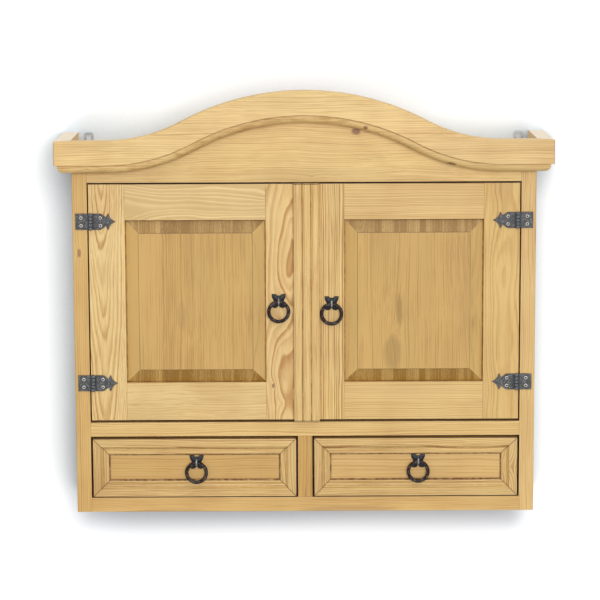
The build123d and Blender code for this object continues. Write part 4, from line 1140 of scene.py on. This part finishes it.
def knuckle_tree():
    """Tree: at each point, a hinge's share of rolled knuckles, every second one of the stack."""
    tree, add, given = group_tree("rolled_knuckles", "GeometryNodeTree", {
        "Geometry": ["Geometry"],
        "Int": ["Count"],
        "Float": ["First", "Pitch", "Gap", "Radius", "Ease"],
        "Material": ["Finish"],
    }, {"Geometry": ["Geometry"]})
    length = add("Math SUBTRACT", [given["Pitch"], given["Gap"]])[0]
    stem = add("GeometryNodeCurvePrimitiveLine",
               {"Start": (0, 0, 0), "End": add("CombineXYZ", {2: length})[0]})[0]
    stem = add("GeometryNodeResampleCurve", {"Curve": stem, "Count": 24})[0]
    along = add("Math MULTIPLY", [add("GeometryNodeSplineParameter")["Factor"], length])[0]
    from_end = add("Math MINIMUM", [along, add("Math SUBTRACT", [length, along])[0]])[0]
    share = add("Math MINIMUM", [add("Math DIVIDE", [from_end, given["Ease"]])[0], 1.0])[0]
    dip = add("Math MULTIPLY", [add("Math POWER", [add("Math SUBTRACT", [1.0, share])[0], 2.0])[0],
                                given["Ease"]])[0]
    section = add("GeometryNodeCurvePrimitiveCircle", {"Resolution": 32, "Radius": 1.0})[0]
    thickness = add("Math SUBTRACT", [given["Radius"], dip])[0]
    barrel = add("GeometryNodeCurveToMesh",
                 {"Curve": stem, "Profile Curve": section, "Scale": thickness, "Fill Caps": True})[0]
    step = add("Math MULTIPLY", [given["Pitch"], 2.0])[0]
    start = add("CombineXYZ", {2: given["First"]})[0]
    stack = add("GeometryNodeMeshLine",
                {"Count": given["Count"], "Start Location": start,
                 "Offset": add("CombineXYZ", {2: step})[0]}, mode="OFFSET")[0]
    share_of_hinge = add("GeometryNodeInstanceOnPoints", {"Points": stack, "Instance": barrel})[0]
    all_hinges = add("GeometryNodeInstanceOnPoints",
                     {"Points": given["Geometry"], "Instance": share_of_hinge})[0]
    return finished(tree, add, all_hinges, given["Finish"])


def screw_tree():
    """Tree: at each point, a domed screw head with a cross recess, facing the front."""
    tree, add, given = group_tree("domed_screw_heads", "GeometryNodeTree", {
        "Geometry": ["Geometry"],
        "Float": ["Ball radius", "Height", "Slot length", "Slot width"],
        "Material": ["Finish"],
    }, {"Geometry": ["Geometry"]})
    ball = add("GeometryNodeMeshUVSphere", {"Segments": 40, "Rings": 40, "Radius": given["Ball radius"]})[0]
    sunk = add("Math SUBTRACT", [given["Height"], given["Ball radius"]])[0]
    ball = add("GeometryNodeTransform",
               {"Geometry": ball, "Translation": add("CombineXYZ", [0.0, 0.0, sunk])[0]})[0]
    slab_depth = 0.02
    slab = add("GeometryNodeMeshCube", {"Size": (slab_depth, slab_depth, slab_depth)})[0]
    slab = add("GeometryNodeTransform", {"Geometry": slab, "Translation": (0, 0, -slab_depth / 2)})[0]
    head = add("GeometryNodeMeshBoolean DIFFERENCE", {"Mesh 1": ball, "Mesh 2": slab})[0]
    top = add("CombineXYZ", [0.0, 0.0, given["Height"]])[0]
    for x, y in (("Slot length", "Slot width"), ("Slot width", "Slot length")):
        size = add("CombineXYZ", [given[x], given[y], given["Height"]])[0]
        bar = add("GeometryNodeMeshCube", {"Size": size})[0]
        bar = add("GeometryNodeTransform", {"Geometry": bar, "Translation": top})[0]
        head = add("GeometryNodeMeshBoolean DIFFERENCE", {"Mesh 1": head, "Mesh 2": bar})[0]
    place = add("SeparateXYZ", [add("GeometryNodeInputPosition")[0]])
    out = add("VectorMath LENGTH", [add("CombineXYZ", [place[0], place[1], 0.0])[0]])["Value"]
    out = add("Math MULTIPLY", [out, 1 / MM])[0]
    head = add("GeometryNodeStoreNamedAttribute",
               {"Geometry": head, "Name": "from_middle_mm", "Value": out}, data_type="FLOAT",
               domain="POINT")[0]
    spin = add("FunctionNodeRandomValue", {"Min": 0.0, "Max": 1.5}, data_type="FLOAT")[1]
    turn = add("CombineXYZ", [math.pi / 2, spin, 0.0])[0]
    screws = add("GeometryNodeInstanceOnPoints",
                 {"Points": given["Geometry"], "Instance": head, "Rotation": turn})[0]
    return finished(tree, add, screws, given["Finish"])


KNUCKLE_TREE = knuckle_tree()
KNUCKLE_SPLIT_MM = 0.8
KNUCKLE_EASE_MM = 1.1
SCREW_BALL_MM = 4.3
SCREW_HEAD_MM = 1.8
SCREW_SLOT_MM = (3.5, 0.9)              # length and width of one arm's slot
SCREW_TREE = screw_tree()
for leaf, side in [(leaf, side) for leaf in ("frame", "door") for side in HANDS]:
    body = "carcass" if leaf == "frame" else f"door_{side}"
    cad_name = "frame" if leaf == "frame" else body
    axis_x = HANDS[side] * hinge_x
    plates = placed(f"hinge_{leaf}_leaves_{side}", leaf_mesh(f"hinge_{leaf}_leaves_{side}", leaf, side))
    keep(plates, body, "black_iron", f"{cad_name}_hinge_leaves")
    own = 0 if leaf == "frame" else 1
    axis_points = [(axis_x, hinge_y, z) for z in hinge_heights]
    knuckles = grown(f"hinge_{leaf}_knuckles_{side}", KNUCKLE_TREE, axis_points,
                     count=3 - own, pitch=KNUCKLE_PITCH_MM * MM, gap=KNUCKLE_SPLIT_MM * MM,
                     first=own * KNUCKLE_PITCH_MM * MM + KNUCKLE_SPLIT_MM / 2 * MM - hinge_half,
                     radius=KNUCKLE_MM / 2 * MM, ease=KNUCKLE_EASE_MM * MM, finish=KNUCKLE_IRON)
    keep(knuckles, body, "black_iron")
    away = HANDS[side] * (1 if leaf == "frame" else -1)
    screw_x = axis_x + away * SCREW_OFFSET_MM * MM
    places = [(screw_x, plate_back - HINGE_PLATE_MM * MM, z + v * SCREW_PITCH_MM / 2 * MM)
              for z in hinge_heights for v in (-1, 1)]
    heads = grown(f"hinge_{leaf}_screws_{side}", SCREW_TREE, places, ball_radius=SCREW_BALL_MM * MM,
                  height=SCREW_HEAD_MM * MM, slot_length=SCREW_SLOT_MM[0] * MM,
                  slot_width=SCREW_SLOT_MM[1] * MM, finish=SCREW)
    keep(heads, body, "zinc", f"{cad_name}_hinge_screws")

dress("hinge_pins", BAR_IRON)
for name in ("wall_hangers", "hanger_screws", "shelf_pins", "catch_magnets"):
    dress(name, ZINC)
for side in HANDS:
    dress(f"door_{side}_catch_strike", ZINC)

make_camera()
make_light()
make_stage()
bpy.context.scene.view_settings.view_transform = "Standard"
bpy.context.view_layer.update()
